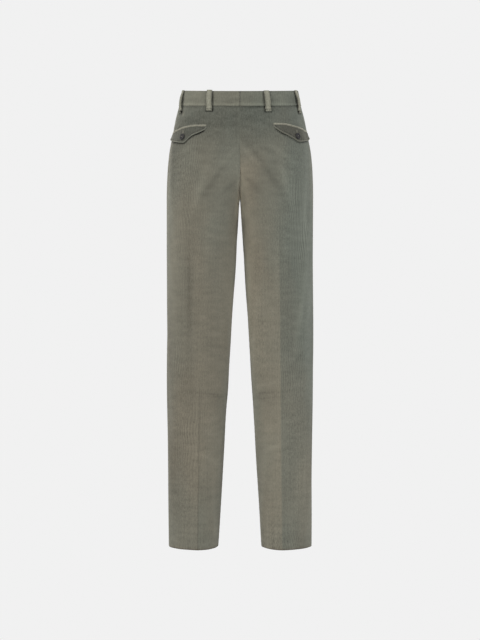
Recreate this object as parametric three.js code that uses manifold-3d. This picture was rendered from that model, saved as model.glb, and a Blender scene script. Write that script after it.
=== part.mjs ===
// Pleated corduroy trousers, filled out as if worn: a hollow shell of cut panels, open at the
// waist and at both hems. Millimetres, +Z up, the wearer faces -Y, so +X is the wearer's left.
// The origin is the middle of the waist opening, level with its top edge at the sides.
import * as THREE from 'three';
import Module from 'manifold-3d';
import { mergeVertices } from 'three/addons/utils/BufferGeometryUtils.js';

// ---------------------------------------------------------------- driving dimensions
const CLOTH = 2.0;              // one panel's wall: corduroy with the turnings behind it
const SEAM_GAP = 0.3;           // between two pieces that are sewn edge to edge
const LAY_GAP = 0.3;            // between a panel and what lies on it
const OUTSEAM = 1090.5;         // top edge to hem, down the side
const BAND_HEIGHT = 37;
const BAND_WALL = 3.0;
const BAND_PROUD = 0.9;         // the waistband's face stands this far off the panels' face
const DIP_BACK = 13;            // the top edge sits lower at the centre back than at the sides
const DIP_FRONT = 8;            // and at the centre front
const DIP_SOFT = 0.12;          // how softly that dip sets in at the sides
const DIP_ENDS = 230;           // below this drop every line round the body is level
const HEM_SLANT = 2.6;          // the hem is this much longer behind, and as much shorter in front
const HEM_SLANT_STARTS = 1000;  // the slant shows only below this drop
const SIDE_FORWARD = 5;         // degrees that the side seam lies forward of the middle

// The body of the garment, a row for each level below the top edge, in mm:
//   outer   side of the leg, from the garment's middle
//   inner   inside of the leg; under zero above the fork, where the centre seam cuts it off
//   deep    where the section is deepest, from the garment's middle
//   back    depth behind the middle       front   depth before it
//   round   2 is an ellipse, more is squarer; `tuck` is the same for the inner side of the leg
const LEVELS = [
  { z: 0, outer: 138.5, inner: -300, deep: 0, back: 107, front: 104, round: 2.1, tuck: 2.1 },
  { z: -37, outer: 146.0, inner: -300, deep: 8, back: 112.5, front: 107.5, round: 2.15, tuck: 2.15 },
  { z: -70, outer: 154.4, inner: -262, deep: 19, back: 117.5, front: 111, round: 2.2, tuck: 2.2 },
  { z: -108, outer: 161.6, inner: -205, deep: 32.5, back: 122, front: 114.5, round: 2.25, tuck: 2.28 },
  { z: -146, outer: 168.6, inner: -140, deep: 46, back: 125, front: 117, round: 2.25, tuck: 2.42 },
  { z: -180, outer: 172.2, inner: -70, deep: 57, back: 126, front: 118, round: 2.22, tuck: 2.7 },
  { z: -205, outer: 173.6, inner: -27, deep: 64.5, back: 125.6, front: 117.8, round: 2.2, tuck: 2.98 },
  { z: -225, outer: 174.5, inner: -9.6, deep: 70, back: 124.7, front: 117.2, round: 2.18, tuck: 3.1 },
  { z: -240, outer: 174.8, inner: -3.9, deep: 73.8, back: 123.7, front: 116.4, round: 2.15, tuck: 3.1 },
  { z: -250, outer: 175.0, inner: -1.35, deep: 76.2, back: 122.9, front: 115.8, round: 2.15, tuck: 3.05 },
  { z: -256, outer: 175.1, inner: -0.28, deep: 77.6, back: 122.4, front: 115.4, round: 2.13, tuck: 3.0 },
  { z: -258.7, outer: 175.1, inner: 0.15, deep: 78.2, back: 122.2, front: 115.2, round: 2.12, tuck: 2.98 },
  { z: -266, outer: 175.15, inner: 1.05, deep: 79.6, back: 121.5, front: 114.7, round: 2.11, tuck: 2.92 },
  { z: -281, outer: 175.2, inner: 2.25, deep: 82, back: 120.1, front: 113.6, round: 2.1, tuck: 2.8 },
  { z: -357, outer: 175.4, inner: 6.8, deep: 89.5, back: 112, front: 107.2, round: 2.05, tuck: 2.35 },
  { z: -453, outer: 175.4, inner: 12.8, deep: 93, back: 102.4, front: 99.4, round: 2, tuck: 2.1 },
  { z: -549, outer: 175.1, inner: 19.2, deep: 94, back: 94, front: 92, round: 2, tuck: 2 },
  { z: -645, outer: 174.9, inner: 25.2, deep: 95, back: 86.4, front: 85.4, round: 2, tuck: 2 },
  { z: -741, outer: 174.2, inner: 30.9, deep: 96, back: 79.6, front: 79.4, round: 2, tuck: 2 },
  { z: -837, outer: 173.3, inner: 36.8, deep: 97, back: 74, front: 74.2, round: 2, tuck: 2 },
  { z: -933, outer: 172.5, inner: 42.6, deep: 98, back: 69.4, front: 69.6, round: 2, tuck: 2 },
  { z: -1029, outer: 171.6, inner: 48.1, deep: 99, back: 65.5, front: 65.7, round: 2, tuck: 2 },
  { z: -OUTSEAM, outer: 170.8, inner: 52, deep: 100, back: 63, front: 63, round: 2, tuck: 2 },
];

// The pressed line down each leg, a row for each level: its distance from the garment's middle,
// and how far the crease stands out of the round of the leg.
const PRESS = [
  { z: 0, line: 71, backLeft: 0, backRight: 0, front: 0 },
  { z: -36, line: 74, backLeft: 0, backRight: 0, front: 0 },
  { z: -120, line: 79, backLeft: 0, backRight: 0, front: 1.4 },
  { z: -250, line: 86.5, backLeft: 0, backRight: 0, front: 3.4 },
  { z: -357, line: 91.5, backLeft: 0.4, backRight: 2.6, front: 4.2 },
  { z: -549, line: 94, backLeft: 1.2, backRight: 4.4, front: 5.4 },
  { z: -741, line: 96, backLeft: 3.4, backRight: 5.6, front: 6.4 },
  { z: -933, line: 98, backLeft: 6.2, backRight: 6.8, front: 7.2 },
  { z: -OUTSEAM, line: 100, backLeft: 7.4, backRight: 7.6, front: 7.6 },
];
const CREASE_REACH = 48;        // the crease blends into the leg this far to each side

// Reverse pleats in each front: the fold's edge faces the side seam, and its under-layers slope
// off towards the fly. `beside` is the distance from the pressed line, towards the side.
const PLEATS = [
  { beside: 0, height: 3.8, ends: -215 },
  { beside: 42, height: 3.3, ends: -165 },
];
const PLEAT_DEPTH = 17;         // from the fold's edge to where its under-layers end
const PLEAT_EDGE = 1.4;         // the fold's own thickness round its edge

// The largest soft folds, a row for each: which leg and face, its distance from the pressed line
// (positive towards the side seam), level, half-length along the fold, half-width, height out of
// the cloth (under zero is a trough) and how far its upper end leans from upright, in degrees.
const FOLDS = [
  { side: 1, face: 'back', beside: 72, z: -430, length: 150, width: 24, height: 3.0, lean: 8 },
  { side: 1, face: 'back', beside: -62, z: -385, length: 95, width: 22, height: -2.4, lean: -22 },
  { side: 1, face: 'back', beside: -42, z: -742, length: 48, width: 22, height: -2.6, lean: 82 },
  { side: 1, face: 'back', beside: 58, z: -800, length: 110, width: 24, height: 2.2, lean: -8 },
  { side: -1, face: 'back', beside: 76, z: -465, length: 125, width: 24, height: 3.4, lean: 9 },
  { side: -1, face: 'back', beside: -60, z: -410, length: 90, width: 22, height: -2.2, lean: -26 },
  { side: -1, face: 'back', beside: -44, z: -736, length: 44, width: 22, height: -2.4, lean: 84 },
  { side: -1, face: 'back', beside: 50, z: -812, length: 120, width: 26, height: 2.0, lean: -6 },
  { side: 1, face: 'front', beside: 30, z: -640, length: 60, width: 26, height: 2.4, lean: 74 },
  { side: -1, face: 'front', beside: 26, z: -655, length: 64, width: 26, height: 2.6, lean: 70 },
  { side: 1, face: 'front', beside: 66, z: -370, length: 120, width: 26, height: 2.4, lean: -10 },
  { side: -1, face: 'front', beside: 70, z: -350, length: 110, width: 26, height: 2.6, lean: -12 },
];

// Belt loops: `round` is the distance from the centre back, or from the centre front if `front`
// is set. `lean` moves the lower end further round, `long` stretches the loop downwards and
// `rise` lifts it.
const LOOP_WIDTH = 13;
const LOOP_WALL = 2.6;
const LOOPS = [
  { name: 'back_left', side: 1, round: 71, lean: 0, long: 1, rise: 1.5 },
  { name: 'back_right', side: -1, round: 61, lean: 4.5, long: 1, rise: 0 },
  { name: 'side_left', side: 1, round: 161, lean: 1, long: 1.1, rise: 0 },
  { name: 'side_right', side: -1, round: 154, lean: 9, long: 1.1, rise: 0 },
  { name: 'front_left', side: 1, round: 88.5, lean: 0, long: 1, rise: 0, front: true },
  { name: 'front_right', side: -1, round: 88.5, lean: 0, long: 1, rise: 0, front: true },
];
// How the loop's inner face stands off the panels' face, from its upper end to its lower end.
const LOOP_PATH = [
  { z: 0.3, off: 1.3 },
  { z: -5, off: 1.5 },
  { z: -11, off: 3.1 },
  { z: -19, off: 4.3 },
  { z: -28, off: 4.3 },
  { z: -36, off: 3.2 },
  { z: -41, off: 1.3 },
  { z: -45, off: 0.45 },
  { z: -50, off: 0.35 },
];

// The back pockets, a row for each distance round from the centre back. The columns are the level
// of the welt's lower edge and how deep the flap hangs below it, for the left and the right
// pocket, and how far the flap's free edge stands off.
const POCKET_EDGE = [
  { round: 79, left: -97, right: -92.8, deepLeft: 5.4, deepRight: 4.4, off: 0.3 },
  { round: 85, left: -97.2, right: -93.2, deepLeft: 8.6, deepRight: 7.8, off: 0.3 },
  { round: 97, left: -96.9, right: -93, deepLeft: 14.2, deepRight: 15.8, off: 0.45 },
  { round: 112, left: -96.1, right: -93.3, deepLeft: 19.7, deepRight: 21.8, off: 0.6 },
  { round: 124, left: -96.9, right: -94.9, deepLeft: 25.2, deepRight: 25.2, off: 0.8 },
  { round: 133, left: -97.8, right: -96.1, deepLeft: 31.2, deepRight: 27.9, off: 0.9 },
  { round: 139, left: -98.6, right: -97, deepLeft: 33.9, deepRight: 29.8, off: 1 },
  { round: 146, left: -99.6, right: -97.9, deepLeft: 32.8, deepRight: 31.8, off: 1.1 },
  { round: 152, left: -100.5, right: -98.7, deepLeft: 31.4, deepRight: 31, off: 1.25 },
  { round: 170, left: -103.5, right: -101.1, deepLeft: 25.9, deepRight: 26.5, off: 1.9 },
  { round: 190, left: -106.4, right: -103.1, deepLeft: 19.4, deepRight: 21.2, off: 2.7 },
  { round: 200, left: -107.4, right: -104, deepLeft: 16.4, deepRight: 18.3, off: 3.2 },
  { round: 208, left: -108, right: -104.6, deepLeft: 13, deepRight: 13.5, off: 3.4 },
];
const POCKET_COLUMNS = 16;
const WELT_HEIGHT = 5;
const WELT_WALL = 1.7;
const FLAP_WALL = 2.0;
const BUTTON_ROUND = 142.5;
const BUTTON_BELOW = 20;        // centre of the button below the welt's lower edge

const BUTTON_SEAT = 0.3;        // more than LAY_GAP, because the cloth under a button curves
const BUTTON_RADIUS = 7.5;
const BUTTON_THICK = 3.2;
const BUTTON_HOLES = 4;
const BUTTON_HOLE_RADIUS = 0.9;
const BUTTON_HOLE_CIRCLE = 1.7;

const UNDER_BAND = 1;           // what is sewn on a panel starts this far below the panel's top
const SIDE_POCKET = { topAhead: 40, footAhead: 7, foot: -212, width: 5, wall: 1.3 };
const PLACKET = { width: 38, foot: -208, curve: 44, tip: 0.17, wall: 1.3 };
const PLACKET_CURVE_ROWS = [-156, -170, -180, -188, -196, -202, -206];
const ZIP = { half: 13, below: 4, foot: -170, wall: 1.6, gap: 1.0 };
const TAB = { left: 10, right: 40, margin: 1.5, wall: 2.2, button: 26 };

// ---------------------------------------------------------------- materials
const corduroy = (name, color) =>
  new THREE.MeshStandardMaterial({ name, color, roughness: 0.92, metalness: 0 });
const CORD = corduroy('corduroy', 0x74726a);
const BAND_CORD = corduroy('waistband corduroy', 0x7c7b70);
const TRIM_CORD = corduroy('pocket corduroy', 0x68685f);
const ZIP_TAPE = new THREE.MeshStandardMaterial({ name: 'zip tape', color: 0x5a594f, roughness: 0.8 });
const HORN = new THREE.MeshStandardMaterial({ name: 'horn button', color: 0x2b2723, roughness: 0.4 });

// ---------------------------------------------------------------- the garment's surface
// A smooth curve through one column of a table, as a function of height.
function column(table, name) {
  const z = table.map((row) => row.z);
  const v = table.map((row) => row[name]);
  const last = z.length - 1;
  const slope = z.map((_, i) => {
    const a = Math.max(i - 1, 0);
    const b = Math.min(i + 1, last);
    return (v[b] - v[a]) / (z[b] - z[a]);
  });
  return (height) => {
    if (height >= z[0]) return v[0] + slope[0] * (height - z[0]);
    if (height <= z[last]) return v[last] + slope[last] * (height - z[last]);
    let i = 0;
    while (height < z[i + 1]) i += 1;
    const step = z[i + 1] - z[i];
    const t = (height - z[i]) / step;
    const cubic = v[i] * (2 * t ** 3 - 3 * t ** 2 + 1) + v[i + 1] * (3 * t ** 2 - 2 * t ** 3);
    return cubic + step * (slope[i] * (t ** 3 - 2 * t ** 2 + t) + slope[i + 1] * (t ** 3 - t ** 2));
  };
}

const columns = (table) =>
  Object.fromEntries(Object.keys(table[0]).filter((k) => k !== 'z').map((k) => [k, column(table, k)]));
const body = columns(LEVELS);
const press = columns(PRESS);
const smooth = (t) => THREE.MathUtils.smoothstep(t, 0, 1);

// Signed power, which makes a superellipse of a circle's sine and cosine.
const bend = (value, power) => Math.sign(value) * Math.abs(value) ** power;

// The half-width and the squareness of the section at height z, on its outer or its inner side.
function halfOf(z, outside) {
  const deep = body.deep(z);
  if (outside) return { deep, reach: body.outer(z) - deep, square: body.round(z) };
  return { deep, reach: deep - body.inner(z), square: body.tuck(z) };
}

// The angle, from the side, at which the section at height z stands `x` from the middle.
function angleAt(z, x) {
  const { deep, reach, square } = halfOf(z, x > body.deep(z));
  const share = THREE.MathUtils.clamp((x - deep) / reach, -1, 1);
  return Math.acos(bend(share, square / 2));
}

// One half of the garment's section at height z, from the centre back (the inside leg seam below
// the fork) round the side to the front: points, the distance round to each, and its landmarks.
const STEPS = 240;
const sections = new Map();
function sectionAt(z) {
  if (sections.has(z)) return sections.get(z);
  const edge = SEAM_GAP / 2;
  const end = body.inner(z) < edge ? angleAt(z, edge) : Math.PI - edge / body.back(z);
  const points = [];
  const round = [0];
  const angles = [];
  for (let i = 0; i <= STEPS; i += 1) {
    const a = end * (1 - (2 * i) / STEPS);
    const { deep, reach, square } = halfOf(z, Math.cos(a) > 0);
    const depth = a > 0 ? body.back(z) : body.front(z);
    const x = deep + reach * bend(Math.cos(a), 2 / square);
    points.push({ x, y: depth * bend(Math.sin(a), 2 / square) });
    angles.push(a);
    if (i) round.push(round[i - 1] + Math.hypot(x - points[i - 1].x, points[i].y - points[i - 1].y));
  }
  const section = { points, round, angles, length: round[STEPS] };
  const roundOf = (angle) => {
    const step = ((1 - angle / end) / 2) * STEPS;
    const low = Math.min(Math.floor(step), STEPS - 1);
    return round[low] + (round[low + 1] - round[low]) * (step - low);
  };
  section.side = roundOf(-THREE.MathUtils.degToRad(SIDE_FORWARD));
  section.backPress = roundOf(Math.min(angleAt(z, press.line(z)), end));
  section.frontPress = roundOf(-Math.min(angleAt(z, press.line(z)), end));
  sections.set(z, section);
  return section;
}

// The place at a distance round the section.
function placeAt(z, round) {
  const s = sectionAt(z);
  let low = 0;
  let high = STEPS;
  while (high - low > 1) {
    const mid = (low + high) >> 1;
    if (s.round[mid] <= round) low = mid;
    else high = mid;
  }
  const t = (round - s.round[low]) / (s.round[high] - s.round[low]);
  const mix = (a, b) => a + (b - a) * t;
  const [p, q] = [s.points[low], s.points[high]];
  return { x: mix(p.x, q.x), y: mix(p.y, q.y), angle: mix(s.angles[low], s.angles[high]) };
}

// Out of the cloth, square to the smooth body: the slope of the section's own equation.
function outward(x, y, z) {
  const outside = x > body.deep(z);
  const value = (height) => {
    const { deep, reach, square: n } = halfOf(height, outside);
    const depth = y > 0 ? body.back(height) : body.front(height);
    const [across, along] = [Math.abs(x - deep) / reach, Math.abs(y) / depth];
    const dx = (Math.sign(x - deep) * across ** (n - 1)) / reach;
    const dy = (Math.sign(y) * along ** (n - 1)) / depth;
    return { past: (across ** n + along ** n - 1) / n, dx, dy };
  };
  const { dx, dy } = value(z);
  const dz = value(z + 0.5).past - value(z - 0.5).past;
  return new THREE.Vector3(dx, dy, dz).normalize();
}

// How far the crease, the pleats and the soft folds lift the cloth off the smooth body.
function relief(side, z, round) {
  const s = sectionAt(z);
  const tent = (from) => Math.max(0, 1 - Math.abs(round - from) / CREASE_REACH) ** 1.5;
  const behind = side > 0 ? press.backLeft(z) : press.backRight(z);
  let lift = behind * tent(s.backPress) + press.front(z) * tent(s.frontPress);
  for (const pleat of PLEATS) {
    const past = round - (s.frontPress - pleat.beside);
    const share = past > 0 ? 1 - past / PLEAT_DEPTH : 1 + past / PLEAT_EDGE;
    const fade = 1 - smooth((z + BAND_HEIGHT) / (pleat.ends + BAND_HEIGHT));
    lift += pleat.height * fade * Math.max(0, share);
  }
  for (const fold of FOLDS.filter((f) => f.side === side)) {
    const lean = THREE.MathUtils.degToRad(fold.lean);
    const beside = fold.face === 'back' ? round - s.backPress : s.frontPress - round;
    const [du, dv] = [beside - fold.beside, z - fold.z];
    const along = (dv * Math.cos(lean) + du * Math.sin(lean)) / fold.length;
    const across = (du * Math.cos(lean) - dv * Math.sin(lean)) / fold.width;
    lift += fold.height * Math.exp(-(along ** 2) - across ** 2);
  }
  return lift;
}

// A point of the cloth: side is 1 for the wearer's left and -1 for the right, and `off` is its
// height over the panel's outer face.
function cloth(side, z, round, off = 0) {
  const { x, y } = placeAt(z, round);
  const point = new THREE.Vector3(x, y, z);
  point.addScaledVector(outward(x, y, z), relief(side, z, round) + off);
  point.x = Math.max(point.x, SEAM_GAP / 2);
  point.x *= side;
  return point;
}

// The height of a line at `level`: it follows the waist's dip near the top and the hem's slant
// near the bottom, and is level between. `angle` is the place round the section.
function dipped(level, angle) {
  const sine = Math.sin(angle);
  const deepest = (sine > 0 ? DIP_BACK : DIP_FRONT) * (1 + DIP_SOFT);
  const dip = (deepest * sine ** 2) / (Math.abs(sine) + DIP_SOFT);
  const nearWaist = 1 - smooth(-level / DIP_ENDS);
  const nearHem = smooth((-level - HEM_SLANT_STARTS) / (OUTSEAM - HEM_SLANT_STARTS));
  return level - dip * nearWaist - HEM_SLANT * sine * nearHem;
}

// ---------------------------------------------------------------- closed slabs
// A closed solid between an outer and an inner face, each a grid of rows and columns of points.
function slab(rows, cols, outer, inner) {
  const position = [];
  for (const face of [outer, inner]) {
    for (let r = 0; r <= rows; r += 1) {
      for (let c = 0; c <= cols; c += 1) position.push(...face(r, c).toArray());
    }
  }
  const far = (rows + 1) * (cols + 1);
  const at = (r, c) => r * (cols + 1) + c;
  const index = [];
  const quad = (a, b, c, d) => index.push(a, b, c, a, c, d);
  for (let r = 0; r < rows; r += 1) {
    for (let c = 0; c < cols; c += 1) {
      quad(at(r, c), at(r, c + 1), at(r + 1, c + 1), at(r + 1, c));
      quad(far + at(r, c), far + at(r + 1, c), far + at(r + 1, c + 1), far + at(r, c + 1));
    }
  }
  for (let c = 0; c < cols; c += 1) {
    quad(at(0, c + 1), at(0, c), far + at(0, c), far + at(0, c + 1));
    quad(at(rows, c), at(rows, c + 1), far + at(rows, c + 1), far + at(rows, c));
  }
  for (let r = 0; r < rows; r += 1) {
    quad(at(r, 0), at(r + 1, 0), far + at(r + 1, 0), far + at(r, 0));
    quad(at(r + 1, cols), at(r, cols), far + at(r, cols), far + at(r + 1, cols));
  }
  const geometry = new THREE.BufferGeometry();
  geometry.setAttribute('position', new THREE.Float32BufferAttribute(position, 3));
  geometry.setIndex(index);
  return facingOut(geometry);
}

// Turns every face over if the closed geometry would otherwise be inside out.
function facingOut(geometry) {
  const p = geometry.getAttribute('position');
  const index = geometry.getIndex().array;
  const [a, b, c] = [new THREE.Vector3(), new THREE.Vector3(), new THREE.Vector3()];
  let volume = 0;
  for (let i = 0; i < index.length; i += 3) {
    [a, b, c].forEach((v, k) => v.fromBufferAttribute(p, index[i + k]));
    volume += a.dot(b.clone().cross(c));
  }
  if (volume < 0) {
    for (let i = 0; i < index.length; i += 3) {
      [index[i], index[i + 1]] = [index[i + 1], index[i]];
    }
  }
  geometry.computeVertexNormals();
  return geometry;
}

const trousers = new THREE.Group();
function add(name, geometry, material) {
  const mesh = new THREE.Mesh(geometry, material);
  mesh.name = name;
  trousers.add(mesh);
  return mesh;
}

const SIDES = [
  { side: 1, hand: 'left' },
  { side: -1, hand: 'right' },
];

// ---------------------------------------------------------------- the four leg panels
const PANEL_TOP = -BAND_HEIGHT - SEAM_GAP;
const PANEL_ROWS = [
  PANEL_TOP, -62, -88, -114, -142, -170, -196, -218, -234, -246, -253, -257, -258.4, -258.7,
  -262, -270, -290, -330, -375, -430, -490, -550, -610, -660, -700, -742, -785, -840, -910, -1000,
  -OUTSEAM,
];
const BACK_COLUMNS = { inside: 6, outside: 8 };   // on each side of the pressed line
const FRONT_COLUMNS = 4;                          // on each side of the pleats
const evenly = (from, to, count) =>
  Array.from({ length: count + 1 }, (_, i) => from + ((to - from) * i) / count);

// Distances round the section at which a panel has its columns, the same number at every level.
function backColumns(s) {
  const inside = evenly(0, s.backPress, BACK_COLUMNS.inside);
  const outside = evenly(s.backPress, s.side - SEAM_GAP / 2, BACK_COLUMNS.outside);
  return [...inside, ...outside.slice(1)];
}

function frontColumns(s) {
  const [main, second] = PLEATS.map((pleat) => s.frontPress - pleat.beside);
  const pleat = (edge) => [edge - PLEAT_EDGE, edge, edge + PLEAT_DEPTH];
  return [
    ...evenly(s.side + SEAM_GAP / 2, second - PLEAT_EDGE, FRONT_COLUMNS).slice(0, -1),
    ...pleat(second),
    ...pleat(main),
    ...evenly(main + PLEAT_DEPTH, s.length, FRONT_COLUMNS).slice(1),
  ];
}

function panel(side, columnsOf) {
  const rows = PANEL_ROWS.length - 1;
  const cols = columnsOf(sectionAt(PANEL_TOP)).length - 1;
  const grid = (off) => (r, c) => {
    const level = PANEL_ROWS[r];
    const { angle } = placeAt(level, columnsOf(sectionAt(level))[c]);
    const z = dipped(level, angle);
    return cloth(side, z, columnsOf(sectionAt(z))[c], off);
  };
  return slab(rows, cols, grid(0), grid(-CLOTH));
}

for (const { side, hand } of SIDES) {
  add(`back_${hand}`, panel(side, backColumns), CORD);
  add(`front_${hand}`, panel(side, frontColumns), CORD);
}

// ---------------------------------------------------------------- waistband
// Each half runs from the centre back round the side to the centre front.
const BAND_COLUMNS = 26;
for (const { side, hand } of SIDES) {
  const grid = (off) => (r, c) => {
    const level = -BAND_HEIGHT * r;
    const share = c / BAND_COLUMNS;
    const { angle } = placeAt(level, sectionAt(level).length * share);
    const z = dipped(level, angle);
    return cloth(side, z, sectionAt(z).length * share, off);
  };
  const band = slab(1, BAND_COLUMNS, grid(BAND_PROUD), grid(BAND_PROUD - BAND_WALL));
  add(`waistband_${hand}`, band, BAND_CORD);
}

// ---------------------------------------------------------------- belt loops
for (const loop of LOOPS) {
  const cols = 2;
  const grid = (wall) => (r, c) => {
    const { z: drop, off } = LOOP_PATH[r];
    const down = (LOOP_PATH[0].z - drop) / (LOOP_PATH[0].z - LOOP_PATH.at(-1).z);
    const level = drop * loop.long + loop.rise;
    const across = (c / cols - 0.5) * LOOP_WIDTH;
    const from = loop.round + loop.lean * down + across;
    const start = sectionAt(level);
    const { angle } = placeAt(level, loop.front ? start.length - from : from);
    const z = dipped(level, angle);
    return cloth(loop.side, z, loop.front ? sectionAt(z).length - from : from, off + wall);
  };
  add(`belt_loop_${loop.name}`, slab(LOOP_PATH.length - 1, cols, grid(LOOP_WALL), grid(0)), BAND_CORD);
}

// ---------------------------------------------------------------- back pockets
const pocketLine = columns(POCKET_EDGE.map(({ round, ...row }) => ({ ...row, z: -round })));
const pocketEdge = (side, round) => ({
  level: (side > 0 ? pocketLine.left : pocketLine.right)(-round),
  deep: (side > 0 ? pocketLine.deepLeft : pocketLine.deepRight)(-round),
  off: pocketLine.off(-round),
});
const pocketRound = (c) =>
  THREE.MathUtils.lerp(POCKET_EDGE[0].round, POCKET_EDGE.at(-1).round, c / POCKET_COLUMNS);

function welt(side) {
  const swell = [0.7, 1, 0.7];
  const rows = swell.length - 1;
  const grid = (outer) => (r, c) => {
    const round = pocketRound(c);
    const z = pocketEdge(side, round).level + (WELT_HEIGHT * r) / rows;
    return cloth(side, z, round, LAY_GAP + (outer ? WELT_WALL * swell[r] : 0));
  };
  return slab(rows, POCKET_COLUMNS, grid(true), grid(false));
}

const FLAP_ROWS = 3;
function flap(side) {
  const grid = (wall) => (r, c) => {
    const round = pocketRound(c);
    const down = r / FLAP_ROWS;
    const { level, deep, off } = pocketEdge(side, round);
    return cloth(side, level - SEAM_GAP - deep * down, round, LAY_GAP + off * down ** 2 + wall);
  };
  return slab(FLAP_ROWS, POCKET_COLUMNS, grid(FLAP_WALL), grid(0));
}

// A four-hole button with a raised rim, turned about +Z with its back at the origin.
const wasm = await Module();
wasm.setup();

function solidOf(geometry) {
  const bare = geometry.clone();
  bare.deleteAttribute('normal');
  bare.deleteAttribute('uv');
  const merged = mergeVertices(bare, 1e-4);
  const vertProperties = new Float32Array(merged.getAttribute('position').array);
  const triVerts = new Uint32Array(merged.getIndex().array);
  return new wasm.Manifold(new wasm.Mesh({ numProp: 3, vertProperties, triVerts }));
}

function geometryOf(solid) {
  const { vertProperties, triVerts } = solid.getMesh();
  const geometry = new THREE.BufferGeometry();
  geometry.setAttribute('position', new THREE.Float32BufferAttribute(vertProperties, 3));
  geometry.setIndex(Array.from(triVerts));
  geometry.computeVertexNormals();
  return geometry;
}

function buttonGeometry() {
  const [r, t] = [BUTTON_RADIUS, BUTTON_THICK];
  const profile = [
    [0, 0], [r * 0.8, 0], [r, t * 0.4], [r, t * 0.7], [r * 0.88, t], [r * 0.72, t * 0.94],
    [r * 0.55, t * 0.62], [0, t * 0.62],
  ].map(([x, y]) => new THREE.Vector2(x, y));
  const turned = new THREE.LatheGeometry(profile, 20).rotateX(Math.PI / 2);
  let solid = solidOf(facingOut(turned));
  for (let i = 0; i < BUTTON_HOLES; i += 1) {
    const a = ((i + 0.5) / BUTTON_HOLES) * 2 * Math.PI;
    const drill = new THREE.CylinderGeometry(BUTTON_HOLE_RADIUS, BUTTON_HOLE_RADIUS, 3 * t, 8);
    drill.rotateX(Math.PI / 2);
    drill.translate(Math.cos(a) * BUTTON_HOLE_CIRCLE, Math.sin(a) * BUTTON_HOLE_CIRCLE, 0);
    solid = solid.subtract(solidOf(drill));
  }
  return geometryOf(solid);
}

// Sets a button on the cloth, its back LAY_GAP over whatever rises `off` above the panel.
function sewOn(name, side, z, round, off) {
  const button = add(name, buttonGeometry(), HORN);
  const seat = cloth(side, z, round, off + LAY_GAP);
  const out = cloth(side, z, round, off + 10).sub(seat).normalize();
  button.position.copy(seat);
  button.quaternion.setFromUnitVectors(new THREE.Vector3(0, 0, 1), out);
}

for (const { side, hand } of SIDES) {
  add(`pocket_welt_${hand}`, welt(side), TRIM_CORD);
  add(`pocket_flap_${hand}`, flap(side), TRIM_CORD);
  const { level, deep, off } = pocketEdge(side, BUTTON_ROUND);
  const flapFace = LAY_GAP + off * (BUTTON_BELOW / deep) ** 2 + FLAP_WALL;
  sewOn(`pocket_button_${hand}`, side, level - BUTTON_BELOW, BUTTON_ROUND, flapFace + BUTTON_SEAT);
}

// ---------------------------------------------------------------- slanted side pockets
const SIDE_POCKET_ROWS = 8;
for (const { side, hand } of SIDES) {
  const { topAhead, footAhead, foot, width, wall } = SIDE_POCKET;
  const grid = (off) => (r, c) => {
    const share = r / SIDE_POCKET_ROWS;
    const level = PANEL_TOP - UNDER_BAND + (foot - PANEL_TOP) * share;
    const ahead = topAhead + (footAhead - topAhead) * share + width * c;
    const { angle } = placeAt(level, sectionAt(level).side + ahead);
    const z = dipped(level, angle);
    return cloth(side, z, sectionAt(z).side + ahead, LAY_GAP + off);
  };
  add(`side_pocket_${hand}`, slab(SIDE_POCKET_ROWS, 1, grid(wall), grid(0)), TRIM_CORD);
}

// ---------------------------------------------------------------- fly, waist tab and its button
// A point at a signed distance from the centre front, positive towards the wearer's left.
function onFront(across, level, off) {
  const side = across < 0 ? -1 : 1;
  const { angle } = placeAt(level, sectionAt(level).length - Math.abs(across));
  const z = dipped(level, angle);
  return cloth(side, z, sectionAt(z).length - Math.abs(across), off);
}

// Both follow the panels' own rows, so their faces run side by side with the panels' facets.
const straightRows = PANEL_ROWS.filter((level) => level > PLACKET_CURVE_ROWS[0] && level < PANEL_TOP);
const PLACKET_ROWS = [PANEL_TOP - UNDER_BAND, ...straightRows, ...PLACKET_CURVE_ROWS, PLACKET.foot];
const PLACKET_COLS = 3;
function placket(off) {
  return (r, c) => {
    const level = PLACKET_ROWS[r];
    const intoCurve = Math.max(0, (PLACKET.foot + PLACKET.curve - level) / PLACKET.curve);
    const width = PLACKET.width * Math.max(PLACKET.tip, Math.sqrt(1 - intoCurve ** 2));
    return onFront((width * c) / PLACKET_COLS, level, LAY_GAP + off);
  };
}
add('fly_placket', slab(PLACKET_ROWS.length - 1, PLACKET_COLS, placket(PLACKET.wall), placket(0)), CORD);

const ZIP_ROWS = [
  PANEL_TOP - ZIP.below,
  ...PANEL_ROWS.filter((level) => level >= ZIP.foot && level < PANEL_TOP),
];
function zipFace(off) {
  return (r, c) => {
    const across = ZIP.half * (c - 1);
    const point = onFront(across, ZIP_ROWS[r], off - CLOTH - ZIP.gap);
    if (across === 0) point.x = 0;
    return point;
  };
}
add('fly_zip', slab(ZIP_ROWS.length - 1, 2, zipFace(0), zipFace(-ZIP.wall)), ZIP_TAPE);

const TAB_COLS = 8;
function tab(off) {
  return (r, c) => {
    const level = -TAB.margin - (BAND_HEIGHT - 2 * TAB.margin) * r;
    const across = TAB.left - ((TAB.left + TAB.right) * c) / TAB_COLS;
    return onFront(across, level, BAND_PROUD + LAY_GAP + off);
  };
}
add('waist_tab', slab(1, TAB_COLS, tab(TAB.wall), tab(0)), BAND_CORD);
const tabFace = BAND_PROUD + LAY_GAP + TAB.wall;
const tabMiddle = dipped(-BAND_HEIGHT / 2, -Math.PI / 2);
const tabButton = sectionAt(tabMiddle).length - TAB.button;
sewOn('waist_button', -1, tabMiddle, tabButton, tabFace + BUTTON_SEAT);

export default trousers;
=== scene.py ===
# %% [markdown]
# # Pleated corduroy trousers
# The garment is filled out as if somebody wore it: a hollow tube of cloth that opens at the waist
# and at both hems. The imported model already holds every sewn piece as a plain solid, so this
# lesson loads it as a fixed frame and then makes each piece again as fine, soft cloth on the same
# form. Nothing is moved or resized.

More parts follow.
